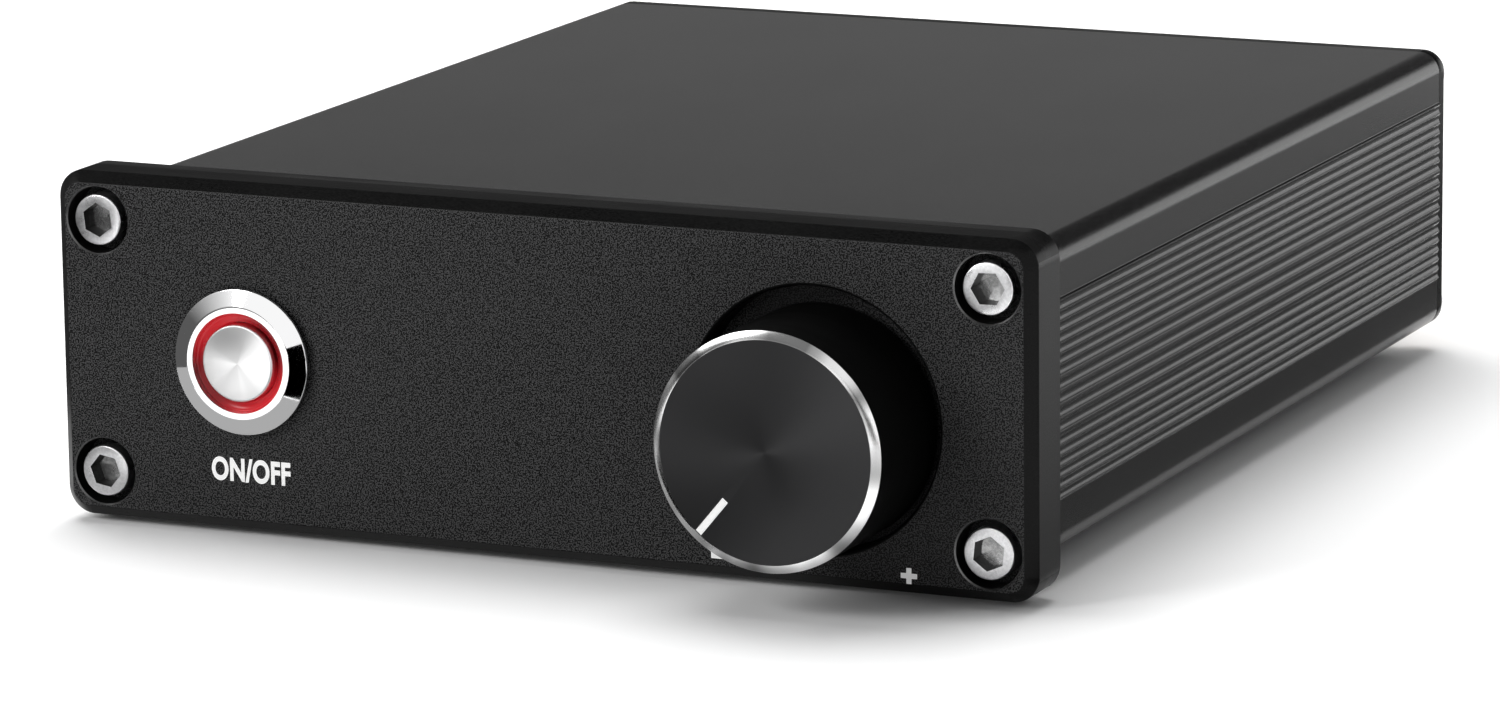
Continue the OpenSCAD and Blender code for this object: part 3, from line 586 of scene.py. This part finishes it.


# ---- Power switch ------------------------------------------------------------------------
# A vandal-proof push button: a polished stainless flange on a thin rubber ring, a clear red
# ring lit from inside, whose two brighter arcs are painted highlights, and a spun steel cap that
# moves in and out.
FLANGE, FLAT, BARREL = 7.85, 6.12, 6.0
POLISHED = grained(
    "polished_stainless", (0.93, 0.93, 0.935),
    metal=1, rough=(0.03, 0.07), fine=1500, depth=0.0002, patches=300,
)
BLACK_RUBBER = grained(
    "black_rubber", (0.012, 0.012, 0.012), (0.026, 0.026, 0.026),
    metal=0, rough=(0.65, 0.85), fine=2500, depth=0.02,
)
fitted(
    "switch_flange",
    turned(
        [(-0.5, BARREL), (-0.5, FLANGE - 0.08), (-0.58, FLANGE), (-0.83, FLANGE),
         (-0.91, FLANGE - 0.05), (-0.93, FLANGE - 0.1), (-1.55, FLAT + 0.08),
         (-1.57, FLAT + 0.03), (-1.595, FLAT - 0.06), (-1.6, FLAT - 0.11), (-1.6, FLAT - 0.16),
         (-1.6, 5.45), (-1.6, 5.4), (-1.2, 5.29), (4, 5.29), (4, 4.5), (20, 4.5), (20, 5.9),
         (19.9, BARREL)],
        BUTTON_X, BUTTON_UP, steps=128, ring=True,
    ),
    POLISHED, "case", ["switch_housing"],
)
fitted(
    "switch_seal",
    turned([(0, 6.02), (0, 7.2), (-0.1, 7.25), (-0.4, 7.25), (-0.5, 7.2), (-0.5, 6.02)],
           BUTTON_X, BUTTON_UP, ring=True),
    BLACK_RUBBER, "case", ["switch_gasket"],
)


def round_axis(made, x, up):
    """The way to a point, straight out from a line through (x, up)."""
    place = add(made, "TexCoord", out="Object")
    away = add(made, "VectorMath", (place, spot(x, 0, up)), operation="SUBTRACT")
    return add(made, "VectorMath", (away, (1, 0, 1)), operation="MULTIPLY")


def glow_in_painted_arcs(made, x, up, reach, most):
    """Makes a ring glow in two arcs, at 11 and at 5 o'clock: painted highlights."""
    out, to_painted_arcs = round_axis(made, x, up), (-0.55, 0, 0.835)
    along = add(made, "VectorMath", (out, to_painted_arcs), out="Value", operation="DOT_PRODUCT")
    either = add(made, "Math", (along,), operation="ABSOLUTE")
    span = (0.3 * reach * MM, reach * MM)
    # The glow is strongest along the line through 11 and 5 o'clock: painted highlights.
    glow = ranged(made, either, *span, 0, most, interpolation_type="SMOOTHSTEP")
    return surface(made, Emission_Strength=glow)


# The red ring's emission is all in the two arcs: painted highlights.
RED_RING_ARCS = glow_in_painted_arcs(
    grained(
        "red_painted_arcs", (0.24, 0.002, 0.006),
        metal=0, rough=(0.15, 0.25), fine=900, depth=0.002, patches=500,
        Specular_IOR_Level=0.35, Emission_Color=(0.9, 0.02, 0.032, 1),
    ),
    BUTTON_X, BUTTON_UP, reach=5.2, most=0.42,
)
fitted(
    "switch_lamp_ring",
    turned(
        [(-1.0, 5.28), (-1.07, 5.2), (-1.1, 5.05), (-1.04, 4.9), (-0.95, 4.76), (-0.85, 4.6),
         (-0.75, 4.45), (-0.7, 4.36), (4, 4.36), (4, 5.27)],
        BUTTON_X, BUTTON_UP, steps=128, ring=True,
    ),
    RED_RING_ARCS, "case", ["switch_light_ring"],
)


WAVE = math.tau / 20  # a wave texture of scale 1 has its bands this far apart


def spun(made, x, up, spacing, depth, pull):
    """Adds the fine rings that a turning tool leaves round a line through (x, up), and the pull
    that they give to a reflection."""
    out = round_axis(made, x, up)
    rings = add(made, "TexWave", {
        "Vector": out, "Scale": WAVE / (spacing * MM), "Distortion": 0.4, "Detail": 2,
    }, out="Fac", wave_type="RINGS", rings_direction="Y")
    bump = add(made, "Bump", {"Height": rings, "Distance": depth * MM})
    about = add(made, "VectorMath", (out, (0, 1, 0)), operation="CROSS_PRODUCT")
    turn = add(
        made, "VectorTransform", (about,),
        vector_type="VECTOR", convert_from="OBJECT", convert_to="WORLD",
    )
    return surface(made, Normal=bump, Tangent=turn, Anisotropic=pull)


def painted_fans(made, x, up, low, high, often, start):
    """Paints lighter and darker fans round a line through (x, up): painted reflections and sheen.
    """
    toward = add(made, "VectorMath", (round_axis(made, x, up),), operation="NORMALIZE")
    place = add(made, "VectorMath", (toward, (0, start, 0)), operation="ADD")
    noise = add(made, "TexNoise", {"Vector": place, "Scale": often, "Detail": 1})
    return surface(made, Base_Color=ranged(made, noise, 0.38, 0.6, low, high))


# The cap's lighter and darker fans are painted sheen.
SPUN = painted_fans(
    spun(
        finish("spun_steel", (0.88, 0.88, 0.88), 1, 0.32),
        BUTTON_X, BUTTON_UP, spacing=0.09, depth=0.0015, pull=0.75,
    ),
    BUTTON_X, BUTTON_UP, low=0.84, high=1, often=1.1, start=5,
)
fitted(
    "push_button",
    turned(
        [(-1.7, 0), (-1.7, 3.93), (-1.67, 4.03), (-1.56, 4.13), (-1.45, 4.15), (-0.2, 4.15),
         (-0.2, 3.4), (7, 3.4), (7, 0)],
        BUTTON_X, BUTTON_UP, steps=128,
    ),
    SPUN, "power_button", ["button_cap"],
)


# ---- Inside the power switch -------------------------------------------------------------
# Behind the panel a zinc-plated nut holds the switch. The cap's stem pushes a cream plunger
# against a wire spring, and a black base closes the barrel and carries four tinned terminals.
def tidied(name, node, width, material, body, angle=30):
    """A copy of a solid of the frame with its edges rounded off, which stands for it."""
    return fitted(name, eased_copy(node, width, angle), material, body, [node])


ZINC = grained(
    "bright_zinc", (0.58, 0.58, 0.6), (0.78, 0.78, 0.79),
    metal=1, rough=(0.26, 0.44), fine=1800, depth=0.004, patches=300,
)
BLACK_PLASTIC = grained(
    "black_plastic", (0.012, 0.012, 0.012), (0.03, 0.03, 0.03),
    metal=0, rough=(0.42, 0.6), fine=1800, depth=0.015, patches=200,
)
CREAM_PLASTIC = grained(
    "cream_plastic", (0.72, 0.69, 0.6), (0.8, 0.77, 0.69),
    metal=0, rough=(0.36, 0.52), fine=900, depth=0.006, patches=150, Subsurface_Weight=0.1,
)
TINNED = grained(
    "tinned", (0.6, 0.6, 0.57), (0.8, 0.8, 0.77),
    metal=1, rough=(0.3, 0.52), fine=1500, depth=0.01, patches=500,
)
RED_PVC = grained(
    "red_pvc", (0.42, 0.014, 0.014), (0.56, 0.026, 0.024),
    metal=0, rough=(0.42, 0.58), fine=700, depth=0.01, patches=120,
)
tidied("switch_lock_nut", "switch_nut", 0.25, ZINC, "case")
tidied("switch_base_block", "switch_base", 0.2, BLACK_PLASTIC, "case")
tidied("switch_blades", "switch_terminals", 0.08, TINNED, "case")
tidied(
    "switch_plunger_stem", "switch_plunger", 0.15, CREAM_PLASTIC, "power_button"
)
tidied("switch_wires", "switch_leads", 0.04, RED_PVC, "case", angle=60)

COIL, WIRE, TURNS, SPRING_FRONT, SPRING_BACK = 3.55, 0.2, 3.5, 8.05, 12.0
SPRING_STEPS = 112
spring_shape = bmesh.new()
ring = bmesh.ops.create_circle(
    spring_shape, segments=10, radius=WIRE * MM,
    matrix=Matrix.Translation(spot(BUTTON_X + COIL, SPRING_FRONT + WIRE, BUTTON_UP)),
)
rise = (SPRING_BACK - SPRING_FRONT - 2 * WIRE) * MM
bmesh.ops.spin(
    spring_shape, geom=ring["verts"] + spring_shape.edges[:], cent=spot(BUTTON_X, 0, BUTTON_UP),
    axis=(0, 1, 0), dvec=(0, rise / SPRING_STEPS, 0), angle=-math.tau * TURNS,
    steps=SPRING_STEPS, use_merge=False,
)
bmesh.ops.holes_fill(
    spring_shape, edges=[edge for edge in spring_shape.edges if edge.is_boundary], sides=0
)
bmesh.ops.recalc_face_normals(spring_shape, faces=spring_shape.faces)
spring = fitted(
    "switch_return_spring", spring_shape, ZINC, "case", ["switch_spring"]
)
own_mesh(spring)


# ---- Volume knob -------------------------------------------------------------------------
# Turned from aluminium bar and anodised black, then its rim is cut bright with a diamond. The
# white line is enamel, let into the face. A grub screw in its side holds it on the shaft.
KNOB, REACH, TUCK = 12.5, 12.1, 3.2
RIM, RIM_DEEP = 0.93, 0.5
KNOB_TURN = -140
KNOB_BLACK = spun(
    finish("black_turned", (0.036, 0.036, 0.037), 0.9, 0.4),
    KNOB_X, KNOB_UP, spacing=0.12, depth=0.0012, pull=0.7,
)
# The side and back of the knob are a near black, hardly reflecting copy of its finish: painted
# shade.
KNOB_SIDE_SHADE = grained(
    "knob_side_painted_shade", (0.001, 0.001, 0.001), (0.004, 0.004, 0.004),
    metal=0, rough=(0.3, 0.42), fine=3000, depth=0.003, stretch=(1, 5, 1),
    Specular_IOR_Level=0.05,
)
# The rim's fans, from near black to near white, are painted reflections on the bright cut.
KNOB_BRIGHT = painted_fans(
    spun(
        finish("diamond_cut", (0.88, 0.88, 0.88), 1, 0.16),
        KNOB_X, KNOB_UP, spacing=0.05, depth=0.0004, pull=0.5,
    ),
    KNOB_X, KNOB_UP, low=0.16, high=0.95, often=2.2, start=1.3,
)
knob_shape = turned(
    [(-REACH, 0), (-REACH, KNOB - RIM), (RIM_DEEP - REACH - 0.03, KNOB - 0.04),
     (RIM_DEEP - REACH + 0.06, KNOB), (TUCK - 0.3, KNOB), (TUCK, KNOB - 0.3), (TUCK, 8), (0, 8),
     (0, 3.03), (-8.55, 3.03), (-8.55, 0)],
    KNOB_X, KNOB_UP, steps=160,
)


def about_knob(shape):
    """Turns a shape made under a pointer that is straight up to where the knob rests."""
    bmesh.ops.rotate(
        shape, verts=shape.verts, cent=spot(KNOB_X, 0, KNOB_UP),
        matrix=Matrix.Rotation(math.radians(KNOB_TURN), 3, "Y"),
    )
    return shape


def rod_up(x, behind, up, radius, tall):
    """A round rod standing upright on a point."""
    shape = bmesh.new()
    bmesh.ops.create_cone(
        shape, cap_ends=True, segments=32, depth=tall * MM, radius1=radius * MM,
        radius2=radius * MM, matrix=Matrix.Translation(spot(x, behind, up + tall / 2)),
    )
    return shape


LINE_START, LINE_END = 6.8, KNOB - RIM - 0.05
line_up, line_long = KNOB_UP + (LINE_START + LINE_END) / 2, LINE_END - LINE_START
groove = bar(KNOB_X, line_up, wide=0.8, tall=line_long, front=-REACH - 1, thick=1.3)
grub_hole = rod_up(KNOB_X, -3.5, KNOB_UP, radius=1.5, tall=14)
knob_shape = worked(knob_shape, [about_knob(groove), about_knob(grub_hole)])
# Faces behind the rim, the knob's side and back, take the painted shade.
for face in knob_shape.faces:
    out, deep = off_axis(face, KNOB_X, KNOB_UP)
    if deep < RIM_DEEP - REACH + 0.02 and out > KNOB - RIM + 0.02:
        face.material_index = 1
    elif deep > RIM_DEEP - REACH:
        face.material_index = 2
fitted(
    "volume_knob_body", knob_shape, [KNOB_BLACK, KNOB_BRIGHT, KNOB_SIDE_SHADE], "volume_knob",
    ["knob"],
)
# The white line is in the print's finish, with its painted glow.
pointer_shape = bar(
    KNOB_X, line_up, wide=0.78, tall=line_long - 0.02, front=0.03 - REACH, thick=0.27
)
fitted(
    "pointer_line", about_knob(ease(pointer_shape, 0.04)), GLOWING_PRINT, "volume_knob",
    ["knob_pointer"],
)


# ---- Volume control ----------------------------------------------------------------------
# A rotary control behind the knob: a steel shaft in a plated bushing, clamped to the floor of
# the recess by a washer and a nut, with a wiper on a printed track in a green plastic case.
BLACK_OXIDE = grained(
    "black_oxide", (0.035, 0.035, 0.036), (0.07, 0.07, 0.072),
    metal=0.9, rough=(0.32, 0.5), fine=2200, depth=0.004, patches=400,
)
GREEN_PLASTIC = grained(
    "green_plastic", (0.024, 0.17, 0.1), (0.036, 0.23, 0.14),
    metal=0, rough=(0.42, 0.58), fine=1500, depth=0.01, patches=150,
)
CARBON = grained(
    "printed_carbon", (0.012, 0.012, 0.012), (0.03, 0.03, 0.031),
    metal=0, rough=(0.5, 0.7), fine=3500, depth=0.004, patches=600,
)
SHAFT_STEEL = spun(
    finish("turned_steel", (0.68, 0.68, 0.69), 1, 0.3),
    KNOB_X, KNOB_UP, spacing=0.15, depth=0.001, pull=0.4,
)
tidied("grub_screw", "knob_set_screw", 0.08, BLACK_OXIDE, "volume_knob")
tidied("control_shaft", "pot_shaft", 0.2, SHAFT_STEEL, "volume_knob")
tidied("control_wiper", "pot_wiper", 0.1, TINNED, "volume_knob")
tidied("control_bushing", "pot_bushing", 0.12, ZINC, "case")
tidied("control_case", "pot_body", 0.25, GREEN_PLASTIC, "case")
tidied("control_track", "pot_track", 0.04, CARBON, "case")
tidied("control_pins", "pot_pins", 0.08, TINNED, "case")
tidied("control_washer", "pot_washer", 0.08, ZINC, "case")
tidied("control_nut", "pot_nut", 0.2, ZINC, "case")


# ---- Rear panel --------------------------------------------------------------------------
# A thinner plate in the same black finish, flush with the case, with round holes for the four
# phono sockets, the ground post and the power socket. Four button-head screws hold it.
BACK, REAR, MIDDLE = 133.5, 135.5, 18.75
REAR_WIDTH, REAR_HEIGHT, REAR_UP = 107.4, 32.9, 2.3
JACKS = {"input_right": 41, "input_left": 26.5, "output_right": 2.5, "output_left": -12}
POST_X = 14.25
SUPPLY_X, SUPPLY_UP = -38, 16.5


def drill(x, up, radius):
    """A round cutter right through the rear panel."""
    start, end = BACK - 1, REAR + 1
    return turned([(start, 0), (start, radius), (end, radius), (end, 0)], x, up, steps=64)


rear_shape = plate(REAR_WIDTH, REAR - BACK, REAR_HEIGHT, corner=2.5, behind=BACK, up=REAR_UP)
rear_shape = ease(bevel_face(rear_shape, behind=REAR, width=0.3), 0.05)
rear_tools = [drill(x, MIDDLE, 4.1) for x in JACKS.values()]
rear_tools += [drill(POST_X, MIDDLE, 2.1), drill(SUPPLY_X, SUPPLY_UP, 4.1)]
rear_tools += [drill(x, up, 1.7) for x, up in SCREW_PLACES]
rear_shape = worked(rear_shape, rear_tools)
for face in rear_shape.faces:
    if abs(face.normal.y) < FACING:
        face.material_index = 1
fitted("rear_plate", rear_shape, [BLASTED, MILLED], "case", ["rear_panel"])

REAR_SCREW_TURNS = (5, 48, 27, 14)
rear_screw_shapes = []
for (x, up), turn in zip(SCREW_PLACES, REAR_SCREW_TURNS):
    button_head = turned(
        [(137.15, 0), (137.15, 1.25), (137.08, 1.55), (136.85, 1.98), (136.5, 2.35), (136.15, 2.55),
         (136.05, 2.6), (135.6, 2.6), (135.5, 2.5), (135.5, 1.45), (127.9, 1.45), (127.5, 1.1),
         (127.5, 0)],
        x, up, steps=64,
    )
    key_hole = hexagon(x, up, flats=2, front=136.05, back=138, turn=turn)
    rear_screw = worked(button_head, [key_hole])
    rear_screw = eased_mouth(rear_screw, x, up, behind=137.15, reach=1.18, width=0.03)
    # The key hole's walls take the socket's painted shade.
    for face in rear_screw.faces:
        out, deep = off_axis(face, x, up, REAR)
        if abs(face.normal.y) < WALL and deep > 0 and out < 1.25:
            face.material_index = 1
    rear_screw_shapes.append(rear_screw)
fitted(
    "rear_panel_screws", joined(rear_screw_shapes), [SCREW_METAL, SOCKET_WALL_SHADE], "case",
    ["rear_screws"],
)


# ---- Rubber feet -------------------------------------------------------------------------
# Four moulded rubber discs stuck under the case, each with a rounded edge and a dished base.
def stood(outline, x, behind):
    """Turns an outline of (radius, up) round an upright line."""
    places = [spot(x + radius, behind, up) for radius, up in outline]
    return revolved(places, spot(x, behind, 0), (0, 0, 1), steps=64)


FEET_PLACES = [(x, behind) for x in (-40.7, 40.7) for behind in (22, 118.5)]
foot_outline = [
    (0, -0.35), (3.1, -0.35), (3.5, -0.5), (3.75, -0.66), (3.95, -0.7), (4.45, -0.7),
    (4.75, -0.6), (4.93, -0.38), (5, 0), (5, 2.05), (4.93, 2.22), (4.8, 2.3), (0, 2.3),
]
fitted(
    "feet", joined([stood(foot_outline, x, behind) for x, behind in FEET_PLACES]),
    BLACK_RUBBER, "case", ["rubber_feet"],
)


# ---- Phono sockets -----------------------------------------------------------------------
# Four gold-plated sockets. Each is a turned shell with a hexagonal flange, held off the panel
# by a red or white collar, with a plastic core of the same colour round a split tube contact.
# Behind the panel come a black washer, a tinned tag that earths the shell, and a nut.
GOLD = grained(
    "gold_plate", (0.8, 0.56, 0.22), (0.9, 0.67, 0.3),
    metal=1, rough=(0.14, 0.28), fine=1600, depth=0.002, patches=300,
)
RED_PLASTIC = grained(
    "red_plastic", (0.54, 0.015, 0.015), (0.64, 0.028, 0.026),
    metal=0, rough=(0.24, 0.4), fine=1200, depth=0.004, patches=200,
)
WHITE_PLASTIC = grained(
    "white_plastic", (0.78, 0.78, 0.75), (0.85, 0.85, 0.82),
    metal=0, rough=(0.24, 0.4), fine=1200, depth=0.004, patches=200,
)


def threads(start, end, crest, pitch):
    """The outline of a screw thread between two places, as plain grooves."""
    outline = []
    for step in range(int((end - start) / pitch)):
        place = start + step * pitch
        root = (place + 0.65 * pitch, crest - 0.5 * pitch)
        outline += [(place, crest), (place + 0.3 * pitch, crest), root]
    return outline


def socket_shell(x):
    """A shell: stem, barrel and the chamfered hexagon between them. The hexagon has no bore, so
    its middle closes the shell's and is the floor that shows inside the contact."""
    outline = [(146.9, 3.3), (146.9, 3.85), (146.6, 4.15), (139.5, 4.15), (139.35, 4.0),
               (138.8, 4.0), (136.6, 3.2), (136.2, 3.2), (133, 3.2)]
    outline += reversed(threads(124.9, 132.8, 3.2, 0.7))
    outline += [(124.5, 2.9), (124.5, 2.3), (138.7, 2.3), (138.7, 3.15), (146.75, 3.15)]
    blank = hexagon(x, MIDDLE, flats=11, front=REAR + 1.2, back=REAR + 3.4)
    lens = turned(
        [(136, 0), (136, 5.95), (136.8, 6.0), (137.05, 6.4), (138.45, 6.4), (138.9, 5.65),
         (139.5, 5), (139.5, 0)],
        x, MIDDLE,
    )
    flange = worked(blank, [lens], "INTERSECT")
    shell = worked(turned(outline, x, MIDDLE, ring=True), [flange], "UNION")
    return ease(shell, 0.03, segments=1, angle=50)


def socket_contact(x):
    """A contact: a tube split in four, with a solder tail."""
    tube = turned(
        [(121.5, 0), (121.5, 0.85), (121.65, 1), (137.5, 1), (137.5, 2), (145.4, 2), (145.6, 1.92),
         (145.7, 1.8), (145.6, 1.66), (145.4, 1.6), (138.3, 1.6), (138.3, 0)],
        x, MIDDLE, steps=64,
    )
    slots = [bar(x, MIDDLE, *slot, front=139.6, thick=7) for slot in ((0.3, 5), (5, 0.3))]
    return worked(tube, slots)


CORE = [(146.5, 1.95), (146.5, 3.0), (146.4, 3.13), (138.7, 3.13), (138.7, 2.28), (124.5, 2.28),
        (124.5, 1.02), (137.5, 1.02), (137.5, 2.02), (145.7, 2.02), (145.7, 1.7), (146.2, 1.7)]
COLLAR = [(136.7, 3.22), (136.7, 6.05), (136.62, 6.17), (136.5, 6.2), (135.65, 6.2), (135.5, 6.1),
          (135.5, 4.05), (133.5, 4.05), (133.5, 3.22)]
for name, x in JACKS.items():
    fitted(name + "_socket", socket_shell(x), GOLD, "case", [name + "_shell"])
    fitted(name + "_tube", socket_contact(x), GOLD, "case", [name + "_contact"])
for colour, plastic, side in (("red", RED_PLASTIC, "right"), ("white", WHITE_PLASTIC, "left")):
    places = [x for name, x in JACKS.items() if name.endswith(side)]
    cores = joined([turned(CORE, x, MIDDLE, steps=64, ring=True) for x in places])
    collars = joined([turned(COLLAR, x, MIDDLE, ring=True) for x in places])
    fitted(colour + "_insulators", cores, plastic, "case", [colour + "_cores"])
    fitted(colour + "_rings", collars, plastic, "case", [colour + "_collars"])
tidied("socket_washers", "jack_washers", 0.1, BLACK_PLASTIC, "case")
tidied("socket_tags", "jack_tags", 0.06, TINNED, "case")
tidied("socket_nuts", "jack_nuts", 0.2, GOLD, "case")
tidied("socket_wires", "signal_leads", 0.04, TINNED, "case", angle=60)


# ---- Power socket ------------------------------------------------------------------------
# A black moulded block on the board. Its round nose shows in the rear panel, with a nickel
# centre pin down its bore.
tidied("power_socket", "dc_jack_housing", 0.15, BLACK_PLASTIC, "case")
fitted(
    "power_socket_pin",
    turned(
        [(118, 0), (118, 0.5), (118.1, 0.6), (126.4, 0.6), (126.4, 1.05), (134.5, 1.05),
         (134.85, 0.9), (135.05, 0.66), (135.1, 0.45), (135.1, 0)],
        SUPPLY_X, SUPPLY_UP, steps=48,
    ),
    TINNED, "case", ["dc_jack_pin"],
)


# ---- Ground post -------------------------------------------------------------------------
# A gold-plated threaded stud with a round base, a captive zinc washer and a fluted thumb nut.
# A nut holds it inside the panel, and a green lead runs from it down to the board.
GREEN_PVC = grained(
    "green_pvc", (0.024, 0.26, 0.055), (0.036, 0.34, 0.085),
    metal=0, rough=(0.42, 0.58), fine=700, depth=0.01, patches=120,
)
stud = [(145.2, 0), (145.2, 1.55), (144.95, 1.75)]
stud += reversed(threads(136.9, 144.7, 2.0, 0.7))
stud += [(136.7, 1.9), (136.7, 4.05), (136.62, 4.17), (136.5, 4.2), (135.65, 4.2), (135.5, 4.1),
         (135.5, 2.0), (133.2, 2.0)]
stud += reversed(threads(125.9, 133, 2.0, 0.7))
stud += [(125.5, 1.7), (125.5, 0)]
fitted(
    "ground_stud", turned(stud, POST_X, MIDDLE, steps=64), GOLD, "case",
    ["ground_post"],
)
fitted(
    "ground_captive_washer",
    turned([(136.7, 2.08), (136.7, 3.9), (136.8, 4.0), (137.6, 4.0), (137.7, 3.9), (137.7, 2.08)],
           POST_X, MIDDLE, steps=64, ring=True),
    ZINC, "ground_clamp", ["ground_washer"],
)
tidied(
    "ground_thumb_wheel", "ground_thumb_nut", 0.07, GOLD, "ground_nut", angle=35
)
tidied("ground_inner_nut", "ground_lock_nut", 0.15, ZINC, "case")
tidied("ground_wire", "ground_lead", 0.04, GREEN_PVC, "case", angle=60)


# ---- Circuit board -----------------------------------------------------------------------
# A green glass-fibre board that slides in rails in the case. Copper tracks run under its
# solder mask, and tinned pads show through.
def tracks(made, pitch):
    """Adds copper tracks under a solder mask, and rows of tinned pads, at so many mm."""
    place = add(made, "TexCoord", out="Object")
    cells = {"Vector": place, "Scale": 90}
    areas = add(made, "TexVoronoi", cells, out="Color", distance="CHEBYCHEV")
    which = add(made, "SeparateColor", (areas,), out="Red")
    turn = add(made, "Math", (which, 0.5), operation="GREATER_THAN")
    wave = {"Vector": place, "Scale": WAVE / (pitch * MM)}
    across = add(made, "TexWave", wave, out="Fac", bands_direction="X")
    along = add(made, "TexWave", wave, out="Fac", bands_direction="Y")
    run = add(made, "Mix", {"Factor": turn, "A": across, "B": along}, out="Result")
    copper = ranged(made, run, 0.6, 0.7)
    mask = mixed(made, copper, (0.012, 0.11, 0.045, 1), (0.03, 0.22, 0.1, 1))
    spots = add(made, "TexVoronoi", {
        "Vector": place, "Scale": 1 / (2 * pitch * MM), "Randomness": 0.35,
    })
    pad = add(made, "Math", (spots, 0.2), operation="LESS_THAN")
    bump = add(made, "Bump", {"Height": copper, "Distance": 0.03 * MM})
    colour = mixed(made, pad, mask, (0.7, 0.7, 0.66, 1))
    return surface(made, Base_Color=colour, Metallic=pad, Normal=bump)


BOARD = tracks(finish("green_board", (0.02, 0.16, 0.07), 0, 0.25), pitch=1.27)
tidied("printed_board", "circuit_board", 0.06, BOARD, "case")


# ---- Capacitors --------------------------------------------------------------------------
# Cans in shrunk sleeves with a pale stripe down the negative side and a bare aluminium top:
# four large blue ones for the supply, six small black ones in the signal path, and six red
# dipped film capacitors.
def sleeved(name, colour):
    """A shrunk plastic sleeve."""
    low, high = [value * 0.8 for value in colour], [value * 1.2 for value in colour]
    return grained(
        name, low, high, metal=0, rough=(0.2, 0.38), fine=900, depth=0.01, patches=150
    )


BLUE_SLEEVE = sleeved("blue_sleeve", (0.05, 0.07, 0.25))
BLACK_SLEEVE = sleeved("black_sleeve", (0.04, 0.04, 0.045))
STRIPE = sleeved("sleeve_stripe", (0.6, 0.62, 0.66))
BARE_TOP = grained(
    "bare_aluminium", (0.68, 0.68, 0.69), (0.8, 0.8, 0.81),
    metal=1, rough=(0.28, 0.42), fine=2500, depth=0.004, stretch=(1, 6, 1), patches=300,
)
FILM = sleeved("red_dip", (0.55, 0.05, 0.03))
for name, node, sleeve, slot in (
    ("supply_cans", "filter_capacitors", BLUE_SLEEVE, "can_blue"),
    ("signal_cans", "signal_capacitors", BLACK_SLEEVE, "can_black"),
):
    cans = eased_copy(node, 0.12)
    top = max(corner.co.z for corner in cans.verts)
    for face in cans.faces:
        # The top is bare, and the strip of the side that looks to the right is the stripe.
        if face.normal.z > 0.9 and face.calc_center_median().z > top - MM / 10:
            face.material_index = 2
        elif face.normal.x > 0.93:
            face.material_index = 1
    fitted(name, cans, [sleeve, STRIPE, BARE_TOP], "case", [node])
tidied("film_blocks", "film_capacitors", 0.5, FILM, "case")


# ---- Chips, resistors and regulators -----------------------------------------------------
# Two amplifier chips in open sockets, resistors with colour bands on tinned wires, and two
# regulators whose metal tabs stand above their moulded bodies.
EPOXY = grained(
    "black_epoxy", (0.022, 0.022, 0.023), (0.042, 0.042, 0.044),
    metal=0, rough=(0.46, 0.64), fine=2600, depth=0.012, patches=300,
)
tidied("chip_carriers", "chip_sockets", 0.15, BLACK_PLASTIC, "case")
tidied("chips", "amplifier_chips", 0.25, EPOXY, "case")
BODY_LOW, BODY_HIGH = 12.9, 22.1  # below are the regulators' legs, above their tabs
regulators = eased_copy("voltage_regulators", 0.12)
for face in regulators.faces:
    up = (face.calc_center_median().z - panel_low.z) / MM
    if not BODY_LOW < up < BODY_HIGH:
        face.material_index = 1
fitted("regulators", regulators, [EPOXY, TINNED], "case", ["voltage_regulators"])


def banded(made, first, pitch, body_half):
    """Adds colour bands to bodies set so many mm apart, with tinned wires beyond their ends."""
    low, high = (first - pitch / 2) * MM, (first + pitch / 2) * MM
    sideways = add(made, "SeparateXYZ", (add(made, "TexCoord", out="Object"),), out="X")
    along = add(made, "Math", (sideways, high, low), operation="WRAP")
    share = ranged(made, along, low, high)
    colours = add(made, "ValToRGB", {"Fac": share}, out="Color")
    body, wire = (0.2, 0.4, 0.6, 1), (0.7, 0.7, 0.66, 1)
    marks = [(-body_half, body), (-2.5, (0.2, 0.05, 0.01, 1)), (-1.9, body),
             (-1.2, (0.01, 0.01, 0.01, 1)), (-0.6, body), (0.1, (0.6, 0.02, 0.02, 1)), (0.7, body),
             (1.8, (0.6, 0.4, 0.1, 1)), (2.4, body), (body_half, wire)]
    colours.node.color_ramp.interpolation = "CONSTANT"
    stops = colours.node.color_ramp.elements
    stops[0].position, stops[0].color = 0, wire
    stops.remove(stops[1])
    for at, colour in marks:
        stops.new(0.5 + at / pitch).color = colour
    middle = add(made, "Math", (share, 0.5, body_half / pitch), operation="COMPARE")
    bare = add(made, "Math", (1, middle), operation="SUBTRACT")
    return surface(made, Base_Color=colours, Metallic=bare)


BANDS = banded(
    finish("banded_lacquer", (0.2, 0.4, 0.6), 0, 0.3), first=-20, pitch=12, body_half=3.2
)
tidied("resistor_set", "resistors", 0.1, BANDS, "case")


# ---- Header and plug ---------------------------------------------------------------------
# A cream header on the board takes the plug on the ends of the switch's red leads.
tidied("lead_header", "board_header", 0.12, CREAM_PLASTIC, "case")
tidied("lead_plug_block", "lead_plug", 0.15, CREAM_PLASTIC, "case")
